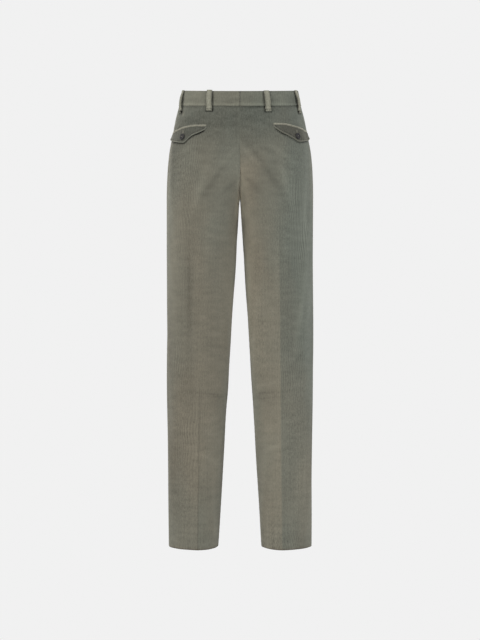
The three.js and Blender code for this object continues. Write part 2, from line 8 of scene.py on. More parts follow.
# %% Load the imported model
import math
import bpy
import bmesh
import numpy as np
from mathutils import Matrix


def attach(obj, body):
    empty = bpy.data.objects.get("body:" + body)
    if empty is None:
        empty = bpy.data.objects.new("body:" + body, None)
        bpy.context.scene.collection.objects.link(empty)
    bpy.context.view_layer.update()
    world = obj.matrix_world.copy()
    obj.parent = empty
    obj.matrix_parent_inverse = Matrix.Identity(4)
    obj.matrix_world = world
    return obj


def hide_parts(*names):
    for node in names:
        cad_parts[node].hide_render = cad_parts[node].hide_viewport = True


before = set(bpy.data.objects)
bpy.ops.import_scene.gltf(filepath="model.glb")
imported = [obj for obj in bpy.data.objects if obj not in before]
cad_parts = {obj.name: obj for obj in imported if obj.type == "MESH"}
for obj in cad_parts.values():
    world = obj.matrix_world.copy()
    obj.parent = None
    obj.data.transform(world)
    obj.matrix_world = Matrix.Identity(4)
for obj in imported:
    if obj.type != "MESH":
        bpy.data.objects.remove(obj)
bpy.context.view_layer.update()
MM = 0.001

# %% [markdown]
# ## The cutter's tables
# A tailor grades trousers from a few girths at known heights, and so does this script. Each row
# of a table is one height below the waist, in millimetres, and each named column is a size there.
# A spline object could hold the same shape, but a table with names is easier to read and to
# change, and a smooth curve through each column gives every height between the rows.

# %% Sizes of the body of the garment
HANDS = [(1, "left"), (-1, "right")]
HAND = dict(HANDS)


def table(names, *rows):
    """Rows of numbers under named columns."""
    return [dict(zip(names.split(), row)) for row in rows]


OUTSEAM = 1090.5
BAND_HEIGHT = 37.0
SEAM_GAP = 0.04
HALF_GAP = SEAM_GAP / 2
LEVELS = table(
    "z outer inner deep back front round tuck",
    (0, 138.5, -300, 0, 107, 104, 2.1, 2.1),
    (-37, 146.0, -300, 8, 112.5, 107.5, 2.15, 2.15),
    (-70, 154.4, -262, 19, 117.5, 111, 2.2, 2.2),
    (-108, 161.6, -205, 32.5, 122, 114.5, 2.25, 2.28),
    (-146, 168.6, -140, 46, 125, 117, 2.25, 2.42),
    (-180, 172.2, -70, 57, 126, 118, 2.22, 2.7),
    (-205, 173.6, -27, 64.5, 125.6, 117.8, 2.2, 2.98),
    (-225, 174.5, -9.6, 70, 124.7, 117.2, 2.18, 3.1),
    (-240, 174.8, -3.9, 73.8, 123.7, 116.4, 2.15, 3.1),
    (-250, 175.0, -1.35, 76.2, 122.9, 115.8, 2.15, 3.05),
    (-256, 175.1, -0.28, 77.6, 122.4, 115.4, 2.13, 3.0),
    (-258.7, 175.1, 0.15, 78.2, 122.2, 115.2, 2.12, 2.98),
    (-266, 175.15, 1.05, 79.6, 121.5, 114.7, 2.11, 2.92),
    (-281, 175.2, 2.25, 82, 120.1, 113.6, 2.1, 2.8),
    (-357, 175.4, 6.8, 89.5, 112, 107.2, 2.05, 2.35),
    (-453, 175.4, 12.8, 93, 102.4, 99.4, 2, 2.1),
    (-549, 175.1, 19.2, 94, 94, 92, 2, 2),
    (-645, 174.9, 25.2, 95, 86.4, 85.4, 2, 2),
    (-741, 174.2, 30.9, 96, 79.6, 79.4, 2, 2),
    (-837, 173.3, 36.8, 97, 74, 74.2, 2, 2),
    (-933, 172.5, 42.6, 98, 69.4, 69.6, 2, 2),
    (-1029, 171.6, 48.1, 99, 65.5, 65.7, 2, 2),
    (-OUTSEAM, 170.8, 52, 100, 63, 63, 2, 2),
)
PRESS = table(
    "z line back_left back_right front",
    (0, 71, 0, 0, 0), (-36, 74, 0, 0, 0), (-120, 79, 0, 0, 1.4), (-250, 86.5, 0, 0, 3.4),
    (-357, 91.5, 0.4, 2.6, 4.2), (-549, 94, 1.2, 4.4, 5.4), (-741, 96, 3.4, 5.6, 6.4),
    (-933, 98, 6.2, 6.8, 7.2), (-OUTSEAM, 100, 7.4, 7.6, 7.6),
)
print("levels:", len(LEVELS), "pressed-line levels:", len(PRESS))


# %% A smooth curve through one column
def curve(rows, name, along="z"):
    """The column as a smooth function of height: cubic between rows, straight past the ends."""
    z, v = (np.array([row[key] for row in rows], float) for key in (along, name))
    before = np.maximum(np.arange(len(z)) - 1, 0)
    after = np.minimum(np.arange(len(z)) + 1, len(z) - 1)
    slope = (v[after] - v[before]) / (z[after] - z[before])

    def value(height):
        height = np.asarray(height, float)
        low = np.clip(np.searchsorted(-z, -height, side="right") - 1, 0, len(z) - 2)
        step = z[low + 1] - z[low]
        share = (height - z[low]) / step
        t = np.clip(share, 0, 1)
        ends = v[low] * (2 * t**3 - 3 * t**2 + 1) + v[low + 1] * (3 * t**2 - 2 * t**3)
        turns = slope[low] * (t**3 - 2 * t**2 + t) + slope[low + 1] * (t**3 - t**2)
        past = np.where(share < 0, slope[low], slope[low + 1]) * (share - t)
        return ends + step * (turns + past)

    return value


def curves(rows, along="z"):
    return {name: curve(rows, name, along) for name in rows[0] if name != along}


body = curves(LEVELS)
press = curves(PRESS)
print("thigh is", round(float(body["outer"](-300) - body["inner"](-300))), "mm across")

# %% [markdown]
# ## The round of the body
# At each height one half of the garment is a squarish oval, cut off at the centre seam above the
# fork and closed below it, where it becomes a leg. Pattern pieces are measured along the cloth,
# so places on it are given by height and by distance round from the centre back. Blender has no
# ready curve for this, and so the ovals are worked out once, a row of points for each height, and
# looked up after that.

# %% One half of the section at every height
STEPS = 240
FORK = -258.7
HEIGHTS = np.concatenate([
    np.arange(6.0, FORK + 14, -1.0), np.arange(FORK + 14, FORK - 8, -0.2), np.arange(FORK - 8, -1110.0, -1.5),
])


def bend(value, power):
    """A signed power, which makes a squarish oval of a sine and a cosine."""
    return np.sign(value) * np.abs(value) ** power


def half_of(z, outside):
    """Half-width and squareness of the oval on its outer or on its inner side."""
    deep = body["deep"](z)
    reach = np.where(outside, body["outer"](z) - deep, deep - body["inner"](z))
    return reach, np.where(outside, body["round"](z), body["tuck"](z))


def angle_at(z, x):
    """The angle, from the side, at which the section stands x from the middle."""
    reach, square = half_of(z, x > body["deep"](z))
    return np.arccos(bend(np.clip((x - body["deep"](z)) / reach, -1, 1), square / 2))


def oval(z, angle):
    """x and y of the section at an angle."""
    reach, square = half_of(z, np.cos(angle) > 0)
    depth = np.where(angle > 0, body["back"](z), body["front"](z))
    x = body["deep"](z) + reach * bend(np.cos(angle), 2 / square)
    return x, depth * bend(np.sin(angle), 2 / square)


tall = HEIGHTS[:, None]
joined_halves = body["inner"](HEIGHTS) < HALF_GAP
END = np.where(joined_halves, angle_at(HEIGHTS, HALF_GAP), math.pi - HALF_GAP / body["back"](HEIGHTS))
ANGLE = END[:, None] * (1 - 2 * np.arange(STEPS + 1) / STEPS)
across, depth = oval(tall, ANGLE)
ROUND = np.zeros_like(ANGLE)
ROUND[:, 1:] = np.cumsum(np.hypot(np.diff(across), np.diff(depth)), axis=1)
print("sections:", len(HEIGHTS), "hem is", round(2 * float(ROUND[-1, -1])), "mm round")


# %% Look-ups along the section
def spread(*values):
    """Numbers or grids of numbers, all brought to the size of the largest."""
    return np.broadcast_arrays(*(np.asarray(v, float) for v in values))


def round_of(angle):
    """Distance round at one angle of every section."""
    share = (1 - angle / END) / 2 * STEPS
    low = np.clip(share.astype(int), 0, STEPS - 1)
    row = np.arange(len(HEIGHTS))
    return ROUND[row, low] + (ROUND[row, low + 1] - ROUND[row, low]) * (share - low)


def down_the_leg(values):
    return lambda z: np.interp(-np.asarray(z, float), -HEIGHTS, values)


SIDE_FORWARD = math.radians(5)
PRESS_ANGLE = np.minimum(angle_at(HEIGHTS, press["line"](HEIGHTS)), END)
side_seam = down_the_leg(round_of(np.full(len(HEIGHTS), -SIDE_FORWARD)))
back_press = down_the_leg(round_of(PRESS_ANGLE))
front_press = down_the_leg(round_of(-PRESS_ANGLE))
whole_round = down_the_leg(ROUND[:, -1])
ROW_STEP = 4000.0
LONG_LIST = (ROUND + ROW_STEP * np.arange(len(HEIGHTS))[:, None]).ravel()


def angle_in(row, distance):
    """The angle at a distance round the section of one row, for many places at once."""
    found = np.searchsorted(LONG_LIST, row * ROW_STEP + distance, side="right") - 1
    low = np.clip(found - row * (STEPS + 1), 0, STEPS - 1)
    start, stop = ROUND[row, low], ROUND[row, low + 1]
    return ANGLE[row, low] + (ANGLE[row, low + 1] - ANGLE[row, low]) * (distance - start) / (stop - start)


def angle_round(z, distance):
    """The angle at a height and a distance round from the centre back."""
    z, distance = spread(z, distance)
    row = np.clip(np.searchsorted(-HEIGHTS, -z, side="right") - 1, 0, len(HEIGHTS) - 2)
    t = (HEIGHTS[row] - z) / (HEIGHTS[row] - HEIGHTS[row + 1])
    return (1 - t) * angle_in(row, distance) + t * angle_in(row + 1, distance)


print("side seam at the hip:", round(float(side_seam(-185))), "mm round from the centre back")

# %% [markdown]
# ## Creases, pleats and folds
# Cloth that hangs is never a plain tube. An iron has pressed a line down each leg, two folds are
# sewn into each front under the waistband, and the cloth breaks softly behind the knees and
# under the seat. A cloth simulation would put such folds where it liked, so they are placed one
# by one instead: each is a low hill or hollow of the surface, with its own place, length and lean.

# %% The largest folds, and the fine ones
FOLD = "beside z length width height lean"


def on_face(side, face, names, *rows):
    """A table of places on one face of one leg, or of both where side is 0."""
    return [dict(row, side=side, face=face) for row in table(names, *rows)]


FOLDS = [
    *on_face(1, "back", FOLD,
        (72, -430, 150, 24, 3.0, 8), (-62, -385, 95, 22, -2.4, -22), (-42, -742, 48, 22, -2.6, 82),
        (58, -800, 110, 24, 2.2, -8)),
    *on_face(-1, "back", FOLD,
        (76, -465, 125, 24, 3.4, 9), (-60, -410, 90, 22, -2.2, -26), (-44, -736, 44, 22, -2.4, 84),
        (50, -812, 120, 26, 2.0, -6)),
    *on_face(1, "front", FOLD,
        (30, -640, 60, 26, 2.4, 74), (66, -370, 120, 26, 2.4, -10)),
    *on_face(-1, "front", FOLD,
        (26, -655, 64, 26, 2.6, 70), (70, -350, 110, 26, 2.6, -12)),
]
FINE_FOLDS = [
    *on_face(1, "back", FOLD,
        (26, -500, 120, 7, -0.8, 1), (-40, -585, 26, 4, 0.6, 80), (-52, -612, 34, 4, -0.6, 84),
        (-30, -724, 36, 2.6, -0.9, 86), (-48, -731, 30, 2.4, -0.7, 88), (38, -770, 20, 4, 0.5, 60),
        (92, -92, 18, 4, 0.8, -52), (-48, -178, 52, 7, 0.7, -38), (-30, -212, 60, 8, -0.8, -30),
        (10, -246, 70, 9, 0.7, -16), (-66, -236, 34, 6, -0.7, -48), (-38, -52, 34, 5, 0.5, 78),
        (6, -940, 26, 5, -0.5, 74), (-20, -874, 40, 7, 0.5, 60)),
    *on_face(-1, "back", FOLD,
        (-44, -722, 30, 2.4, -0.8, 86), (-38, -734, 24, 2.4, -0.6, 84), (-34, -700, 34, 4, 0.5, 78),
        (44, -640, 26, 5, -0.6, 40), (52, -530, 90, 8, 0.9, 10), (78, -300, 60, 7, 0.9, 6),
        (-52, -170, 56, 7, 0.8, -44), (-24, -196, 64, 8, -0.9, -34), (16, -158, 46, 7, 0.7, -58),
        (-64, -226, 40, 6, -0.8, -46), (24, -232, 70, 9, 0.8, -14), (-30, -50, 30, 5, -0.5, 80),
        (-16, -850, 34, 6, 0.5, 66), (40, -700, 22, 4, 0.6, 70), (-52, -560, 30, 5, -0.5, 72)),
    *on_face(1, "front", FOLD,
        (-30, -618, 34, 5, -0.7, 78), (-52, -300, 44, 7, 0.9, 42), (20, -902, 50, 7, 0.7, 70)),
    *on_face(-1, "front", FOLD,
        (-34, -630, 30, 5, -0.7, 82), (-50, -292, 50, 7, 0.9, 38), (14, -916, 46, 7, 0.7, 74)),
]
print("folds:", len(FOLDS), "large,", len(FINE_FOLDS), "fine")


# %% How far the cloth is lifted off the smooth body
CREASE_REACH, WAIST_CALM = 48.0, 90.0
PLEATS = table(
    "beside height ends",
    (0, 3.8, -215), (42, 3.3, -165),
)
PLEAT_DEPTH, PLEAT_EDGE = 17.0, 1.4
RIPPLES = table(
    "across down height shift",
    (61, 420, 0.34, 0.4), (-47, 310, 0.26, 2.1), (33, -240, 0.16, 4.4), (88, -520, 0.42, 5.3),
)


def smooth(t):
    t = np.clip(t, 0, 1)
    return t * t * (3 - 2 * t)


def peak(distance, width):
    """A soft hill, 1 high in its middle."""
    return np.exp(-((distance / width) ** 2))


def beside_spot(spot, z, distance):
    """How far a place lies from a spot's middle, across the face that the spot is on."""
    behind = spot["face"] == "back"
    return (distance - back_press(z) if behind else front_press(z) - distance) - spot["beside"]


def soft_fold(fold, z, distance):
    lean, beside = math.radians(fold["lean"]), beside_spot(fold, z, distance)
    above = z - fold["z"]
    along = (above * math.cos(lean) + beside * math.sin(lean)) / fold["length"]
    over = (beside * math.cos(lean) - above * math.sin(lean)) / fold["width"]
    return fold["height"] * peak(along, 1) * peak(over, 1)


def folded(folds, side, z, distance):
    """What the folds of one leg add up to."""
    return sum(soft_fold(fold, z, distance) for fold in folds if fold["side"] == side)


def pleat_at(pleat, z, distance):
    """How far a place lies past a pleat's rolled edge, and how much of the pleat is left there."""
    fade = 1 - smooth((z + BAND_HEIGHT) / (pleat["ends"] + BAND_HEIGHT))
    return distance - (front_press(z) - pleat["beside"]), fade


def pleat_lift(pleat, z, distance):
    """A fold laid towards the side: steep at its rolled edge, and sloping off towards the fly."""
    past, fade = pleat_at(pleat, z, distance)
    slope = np.clip(1 - past / PLEAT_DEPTH, 0, 1)
    roll = np.sqrt(np.clip(1 - (past / PLEAT_EDGE) ** 2, 0, 1))
    return pleat["height"] * fade * np.where(past > 0, slope, roll)


def tent(past):
    """A pressed line stands up like a tent's ridge."""
    return np.clip(1 - np.abs(past) / CREASE_REACH, 0, 1) ** 1.5


def relief(side, z, distance):
    lift = press[f"back_{HAND[side]}"](z) * tent(distance - back_press(z))
    lift = lift + press["front"](z) * tent(distance - front_press(z))
    lift = lift + folded(FOLDS + FINE_FOLDS, side, z, distance)
    lift = lift + sum(pleat_lift(pleat, z, distance) for pleat in PLEATS)
    below_waist = smooth(-(z + BAND_HEIGHT) / WAIST_CALM)
    for ripple in RIPPLES:
        turn = (distance - side_seam(z)) / ripple["across"] + z / ripple["down"]
        lift = lift + below_waist * ripple["height"] * np.sin(2 * math.pi * turn + ripple["shift"] * side)
    return lift


print("front pleat stands", round(float(relief(1, -60.0, front_press(-60.0))), 1), "mm proud")


# %% [markdown]
# ## A point of the cloth
# Everything that is sewn on the trousers lies on their surface, so one function gives a point of
# that surface for either leg, raised by any height. A pocket flap or a belt loop made from it
# follows every crease below it, as the real one does, where a flat piece would cut through.

# %% The surface, and the slant of its top and bottom edges
DIP_BACK, DIP_FRONT, DIP_SOFT, DIP_ENDS = 13.0, 8.0, 0.12, 230.0
HEM_SLANT, HEM_SLANT_STARTS = 2.6, 1000.0


def outward(x, y, z):
    """The direction square to the smooth body."""
    outside = x > body["deep"](z)

    def oval_at(height):
        beside = x - body["deep"](height)
        reach, n = half_of(height, outside)
        depth = np.where(y > 0, body["back"](height), body["front"](height))
        wide, far = np.abs(beside) / reach, np.abs(y) / depth
        across = np.sign(beside) * wide ** (n - 1) / reach
        along = np.sign(y) * far ** (n - 1) / depth
        return across, along, (wide**n + far**n - 1) / n

    dx, dy, _ = oval_at(z)
    normal = np.stack([dx, dy, oval_at(z + 0.5)[2] - oval_at(z - 0.5)[2]], axis=-1)
    return normal / np.linalg.norm(normal, axis=-1, keepdims=True)


def cloth(side, z, distance, off=0.0):
    """Points of the cloth: side is 1 for the wearer's left and -1 for the right."""
    z, distance, off = spread(z, distance, off)
    x, y = oval(z, angle_round(z, distance))
    lifted = (relief(side, z, distance) + off)[..., None]
    point = np.stack([x, y, z], axis=-1) + outward(x, y, z) * lifted
    point[..., 0] = side * np.maximum(point[..., 0], HALF_GAP)
    return point


def dipped(level, angle):
    """A line round the body dips at the centre near the waist, and slants at the hem."""
    sine = np.sin(angle)
    deepest = np.where(sine > 0, DIP_BACK, DIP_FRONT) * (1 + DIP_SOFT)
    dip = deepest * sine**2 / (np.abs(sine) + DIP_SOFT)
    near_waist = 1 - smooth(-level / DIP_ENDS)
    near_hem = smooth((-level - HEM_SLANT_STARTS) / (OUTSEAM - HEM_SLANT_STARTS))
    return level - dip * near_waist - HEM_SLANT * sine * near_hem


def settled(level, distance):
    """Height and distance round of a place that is given on a level line."""
    level, distance = spread(level, distance)
    z = dipped(level, angle_round(level, distance))
    return z, distance * whole_round(z) / whole_round(level)


print("centre back of the waist:", cloth(1, *settled(0.0, 0.0)).round(1))

# %% [markdown]
# ## From a grid of points to a closed sheet
# A sheet of cloth has a face, a back and a thin edge. Blender's Solidify modifier can thicken a
# single surface, but here the back has its own shape too, such as the doubled cloth at a hem.
# So both sides are grids of points, and one helper joins them into a closed mesh. It also keeps
# the place of each point on the flat cloth as a UV map, because the ribs must run along the cut.

# %% The helper that makes every sheet
SHARP = math.radians(55)


def new_piece(name, mesh, node=None):
    piece = bpy.data.objects.new(name, mesh)
    bpy.context.collection.objects.link(piece)
    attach(piece, "root")
    if node:
        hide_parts(node)
    return piece


def set_values(mesh, name, values):
    made = mesh.attributes.new(name, "FLOAT", "POINT")
    made.data.foreach_set("value", np.ascontiguousarray(values, float).ravel())


def flat(across, down):
    """Places on the flat cloth, before they are scaled to metres."""
    return np.stack(spread(across, down), axis=-1)


def sheet(name, face, back, grain, slot, materials, node, **nap_and_painted_light):
    """A closed sheet between two grids of points. grain is the place of each on the flat cloth."""
    rows, cols = face.shape[:2]
    at = np.arange(rows * cols).reshape(rows, cols)
    square = np.stack([at[:-1, :-1], at[:-1, 1:], at[1:, 1:], at[1:, :-1]], axis=-1).reshape(-1, 4)
    far = rows * cols
    rim = np.concatenate([at[0, :], at[1:, -1], at[-1, -2::-1], at[-2:0:-1, 0]])
    ahead = np.roll(rim, -1)
    border = np.stack([ahead, rim, rim + far, ahead + far], axis=-1)
    faces = np.concatenate([square, square[:, ::-1] + far, border])
    points = np.concatenate([face.reshape(-1, 3), back.reshape(-1, 3)])
    corner = points[faces]
    halves = np.cross(corner[:, 1], corner[:, 2]) + np.cross(corner[:, 2], corner[:, 3])
    if np.einsum("ij,ij->", corner[:, 0], halves) < 0:
        faces = faces[:, ::-1]
    mesh = bpy.data.meshes.new(name)
    mesh.from_pydata((points * MM).tolist(), [], faces.tolist())
    places_flat = np.concatenate([grain.reshape(-1, 2)] * 2) * MM
    corners = np.empty(len(mesh.loops), dtype=np.int32)
    mesh.loops.foreach_get("vertex_index", corners)
    mesh.uv_layers.new(name="grain").data.foreach_set("uv", places_flat[corners].astype(np.float32).ravel())
    for label in ("tone", "warmth", "calm"):
        one_side = np.broadcast_to(np.asarray(nap_and_painted_light.get(label, 0.0), float), (rows, cols)).ravel()
        set_values(mesh, label, np.concatenate([one_side, one_side]))
    for material in materials:
        mesh.materials.append(material)
    if len(materials) > 1:
        inside = np.zeros(len(faces), dtype=np.int32)
        inside[len(square):2 * len(square)] = 1
        mesh.polygons.foreach_set("material_index", inside)
    mesh.polygons.foreach_set("use_smooth", np.ones(len(faces), dtype=bool))
    mesh.set_sharp_from_angle(angle=SHARP)
    mesh.validate()
    return new_piece(name, mesh, node)


CUTS = {}


def cut_to(piece, wide, long, face, held, *rests_on):
    """Keeps the flat size of a sheet, in metres, and the area it was cut to."""
    area = min(area_of(face), wide * long)
    CUTS[piece.name] = dict(flat=(wide, long), held=held, rests_on=list(rests_on), area=area)


def area_of(points):
    """Area of a grid of points, in square metres."""
    a = points[1:, 1:] - points[:-1, :-1]
    b = points[1:, :-1] - points[:-1, 1:]
    return float(np.linalg.norm(np.cross(a, b), axis=-1).sum()) / 2 * MM**2


def rolled(distance, reach_in, drop):
    """How far a sewn or folded edge turns down, at a distance in from it."""
    t = np.clip(1 - np.abs(distance) / reach_in, 0, 1)
    return drop * t**2


def groove(distance, width, depth):
    """The dent that a row of stitches pulls into the cloth."""
    return depth * peak(distance, width)


print("edges sharper than", round(math.degrees(SHARP)), "degrees stay crisp")

# %% [markdown]
# ## Corduroy
# Corduroy is velvet in rows: cut tufts stand in fine ribs with bare ground between them. Three
# things show it. The ribs are a bump that runs along the flat cloth's UV map, so that they follow
# the cut. The tufts catch light from the side, which is the shader's sheen. The nap lies
# unevenly, so long streaks and soft patches are a little lighter, darker, warmer or cooler.
# All of it is made by nodes, because a picture of cloth would blur and repeat.

# %% A short way to write nodes
RIB = 0.0016


def material_of(name, color, **values):
    """A new material. Values are named as the shader's sockets are, with _ for a space."""
    material = bpy.data.materials.new(name)
    material.use_nodes = True
    material.diffuse_color = (*color, 1)
    shader = material.node_tree.nodes["Principled BSDF"]
    for socket, value in dict(values, Base_Color=(*color, 1)).items():
        shader.inputs[socket.replace("_", " ")].default_value = value
    return material


def node(material, kind, output=0, inputs=(), **settings):
    """Adds a node, sets or links its inputs in order, and gives its output."""
    tree = material.node_tree
    made = tree.nodes.new(kind)
    for name, value in settings.items():
        setattr(made, name, value)
    for key, value in dict(inputs).items():
        if isinstance(value, bpy.types.NodeSocket):
            tree.links.new(value, made.inputs[key])
        else:
            made.inputs[key].default_value = value
    return made.outputs[output]


def plug(material, output, socket):
    """Links a node's output to a socket of the material's shader."""
    tree = material.node_tree
    tree.links.new(output, tree.nodes["Principled BSDF"].inputs[socket])


def calc(material, operation, *values):
    return node(material, "ShaderNodeMath", inputs=enumerate(values), operation=operation)


def stretched(material, place, factors):
    return node(material, "ShaderNodeVectorMath", inputs={0: place, 1: factors}, operation="MULTIPLY")


def flat_place(material, across, along):
    """Where a point lies on the flat cloth, scaled across and along the ribs."""
    return stretched(material, node(material, "ShaderNodeUVMap", uv_map="grain"), (across, along, 0))


def solid_place(material):
    return node(material, "ShaderNodeTexCoord", output="Object")


def part_of(material, place, axis=0):
    """One coordinate of a place."""
    return node(material, "ShaderNodeSeparateXYZ", output=axis, inputs={0: place})


def noise(material, place, scale=1.0, detail=2.0):
    """Noise round zero, from about -0.5 to 0.5."""
    inputs = {"Vector": place, "Scale": scale, "Detail": detail}
    return calc(material, "SUBTRACT", node(material, "ShaderNodeTexNoise", inputs=inputs), 0.5)


def attribute(material, name):
    return node(material, "ShaderNodeAttribute", output="Fac", attribute_name=name)


def bumps(material, height, strength, distance):
    inputs = {"Strength": strength, "Distance": distance, "Height": height}
    plug(material, node(material, "ShaderNodeBump", inputs=inputs), "Normal")


def shaded_color(material, color, light):
    """Plugs in a color, made lighter or darker by light."""
    tint = node(material, "ShaderNodeVectorMath", inputs={0: color, "Scale": light}, operation="SCALE")
    plug(material, tint, "Base Color")


def blend(material, share, first, second):
    inputs = {0: share, 6: (*first, 1), 7: (*second, 1)}
    return node(material, "ShaderNodeMix", output=2, inputs=inputs, data_type="RGBA")


print("rib pitch:", RIB * 1000, "mm")


# %% The ribbed velvet itself
CORDUROY_SHADER = dict(Roughness=0.88, Specular_IOR_Level=0.18, Diffuse_Roughness=1.0, Sheen_Weight=0.15,
                       Sheen_Roughness=0.5, Sheen_Tint=(0.88, 0.90, 0.80, 1))
SHEEN_STREAK_PITCH, SHEEN_STREAK_WAVER, SHEEN_STREAK_REACH = 0.0052, 70.0, 0.12
CREST_SHADE = 0.42


def sheen_streak_rows(material, position):
    """Painted sheen: streaks where rows of ribs catch the light together, wandering, and clearer towards the
    side seams.
    """
    rows = part_of(material, flat_place(material, 2 * math.pi / SHEEN_STREAK_PITCH, 1))
    waver = noise(material, flat_place(material, 11, 6), detail=1.0)
    lean = calc(material, "SINE", calc(material, "MULTIPLY_ADD", waver, SHEEN_STREAK_WAVER, rows))
    where = calc(material, "ADD", noise(material, position, scale=6.0, detail=1.0), SHEEN_STREAK_REACH)
    lean = calc(material, "MULTIPLY", lean, calc(material, "MAXIMUM", where, 0.0))
    sideways = calc(material, "ABSOLUTE", part_of(material, position))
    return calc(material, "MULTIPLY", lean, calc(material, "POWER", sideways, 2.0))


def corduroy(name, warm, cool):
    material = material_of(name, warm, **CORDUROY_SHADER)
    wave = calc(material, "SINE", part_of(material, flat_place(material, math.pi / RIB, 1)))
    crest = calc(material, "POWER", calc(material, "ABSOLUTE", wave), 0.55)
    tufts = noise(material, flat_place(material, 3600, 1500), detail=1.0)
    bumps(material, calc(material, "ADD", crest, calc(material, "MULTIPLY", tufts, 0.55)), 0.55, 0.00035)

    position = solid_place(material)
    streak, clump, grit, ruck = (
        noise(material, flat_place(material, across, along), detail=detail)
        for across, along, detail in ((230, 6, 3.0), (420, 130, 2.0), (380, 330, 2.0), (26, 80, 3.0)))
    patch = noise(material, position, scale=13.0, detail=4.0)
    ruffled = calc(material, "SUBTRACT", 1.0, attribute(material, "calm"))
    even = calc(material, "MINIMUM", ruffled, 1.0)
    light = calc(material, "ADD", 1.0, attribute(material, "tone"))
    for amount, source, share in ((0.42, streak, ruffled), (0.95, clump, ruffled), (0.62, grit, even),
                                  (0.22, tufts, even), (0.46, ruck, 1.0), (0.26, patch, 1.0),
                                  (34, sheen_streak_rows(material, position), 1.0)):
        light = calc(material, "MULTIPLY_ADD", source, calc(material, "MULTIPLY", share, amount), light)
    low = calc(material, "MULTIPLY_ADD", crest, CREST_SHADE, 1 - CREST_SHADE)
    light = calc(material, "MULTIPLY", light, low)
    hue = noise(material, stretched(material, position, (6.5, 6.5, 3.2)), detail=3.0)
    share = calc(material, "ADD", attribute(material, "warmth"), calc(material, "MULTIPLY", hue, 1.5))
    share = node(material, "ShaderNodeClamp", inputs={0: calc(material, "ADD", share, 0.5)})
    shaded_color(material, blend(material, share, cool, warm), light)
    return material


CORDUROY = corduroy("corduroy", warm=(0.223, 0.204, 0.157), cool=(0.192, 0.205, 0.171))
# The band, the loops and the welts get lighter copies of the corduroy, which are painted light for the light
# these raised parts catch. The flaps get a darker copy, which is painted shade.
LIT_BAND_CORDUROY = corduroy("waistband_corduroy", warm=(0.246, 0.228, 0.176), cool=(0.216, 0.228, 0.186))
LIT_LOOP_CORDUROY = corduroy("lit_loop_corduroy", warm=(0.330, 0.308, 0.240), cool=(0.296, 0.308, 0.250))
SHADED_FLAP_CORDUROY = corduroy("pocket_corduroy", warm=(0.128, 0.118, 0.093), cool=(0.110, 0.120, 0.102))
LIT_EDGE_CORDUROY = corduroy("lit_edge_corduroy", warm=(0.290, 0.272, 0.214), cool=(0.275, 0.275, 0.227))


# %% [markdown]
# ## Plainer materials
# The wrong side of corduroy is a flat twill with no tufts, so it gets a fine slanting weave and
# little sheen. Thread is a soft twisted gloss, the zip is tape with metal teeth, and the buttons
# are dark horn, whose streaks are what tells it from moulded plastic.

# %% Wrong side, thread, tape, metal and horn
def twill(name, color):
    material = material_of(name, color, Roughness=0.9, Specular_IOR_Level=0.15, Sheen_Weight=0.1)
    place = flat_place(material, 5200, 5200)
    slant = calc(material, "MULTIPLY_ADD", part_of(material, place, 1), 0.7, part_of(material, place))
    weave = calc(material, "SINE", slant)
    bumps(material, weave, 0.35, 0.0002)
    shaded_color(material, color, calc(material, "MULTIPLY_ADD", weave, 0.08, 1.0))
    return material


def thread(name, color):
    material = material_of(name, color, Roughness=0.6, Specular_IOR_Level=0.35, Sheen_Weight=0.25)
    fuzz = noise(material, solid_place(material), scale=2600.0, detail=1.0)
    bumps(material, fuzz, 0.4, 0.0001)
    shaded_color(material, color, calc(material, "MULTIPLY_ADD", fuzz, 0.5, 1.0))
    return material


def worn_gloss(material, scale, change, middle):
    """Roughness that wanders round a middle value."""
    rough = noise(material, solid_place(material), scale=scale)
    plug(material, calc(material, "MULTIPLY_ADD", rough, change, middle), "Roughness")


def horn(name, dark, pale):
    material = material_of(name, dark, Specular_IOR_Level=0.28)
    grain = stretched(material, solid_place(material), (900, 900, 180))
    streak = calc(material, "ADD", noise(material, grain, detail=3.0), 0.42)
    plug(material, blend(material, streak, dark, pale), "Base Color")
    worn_gloss(material, 700.0, 0.2, 0.44)
    return material


def metal(name, color):
    material = material_of(name, color, Metallic=1.0)
    worn_gloss(material, 900.0, 0.25, 0.36)
    return material


WRONG_SIDE = twill("wrong_side", (0.185, 0.178, 0.142))
TAPE = twill("zip_tape", (0.105, 0.103, 0.086))
THREAD = thread("sewing_thread", (0.19, 0.18, 0.14))
PALE_THREAD = thread("buttonhole_thread", (0.30, 0.285, 0.225))
HORN = horn("dark_horn", (0.006, 0.007, 0.012), (0.050, 0.045, 0.042))
BRASS = metal("old_brass", (0.42, 0.33, 0.19))
print("materials:", len(bpy.data.materials))

# %% [markdown]
# ## Places of the loops and the back pockets
# Loops and pockets are sewn on last, but shadows of them are painted on the cloth beside and
# beneath them, so their places are written down first. Each is a distance in millimetres round
# the body from the centre back, and a height. Both are short tables, easy to read against a real pair.

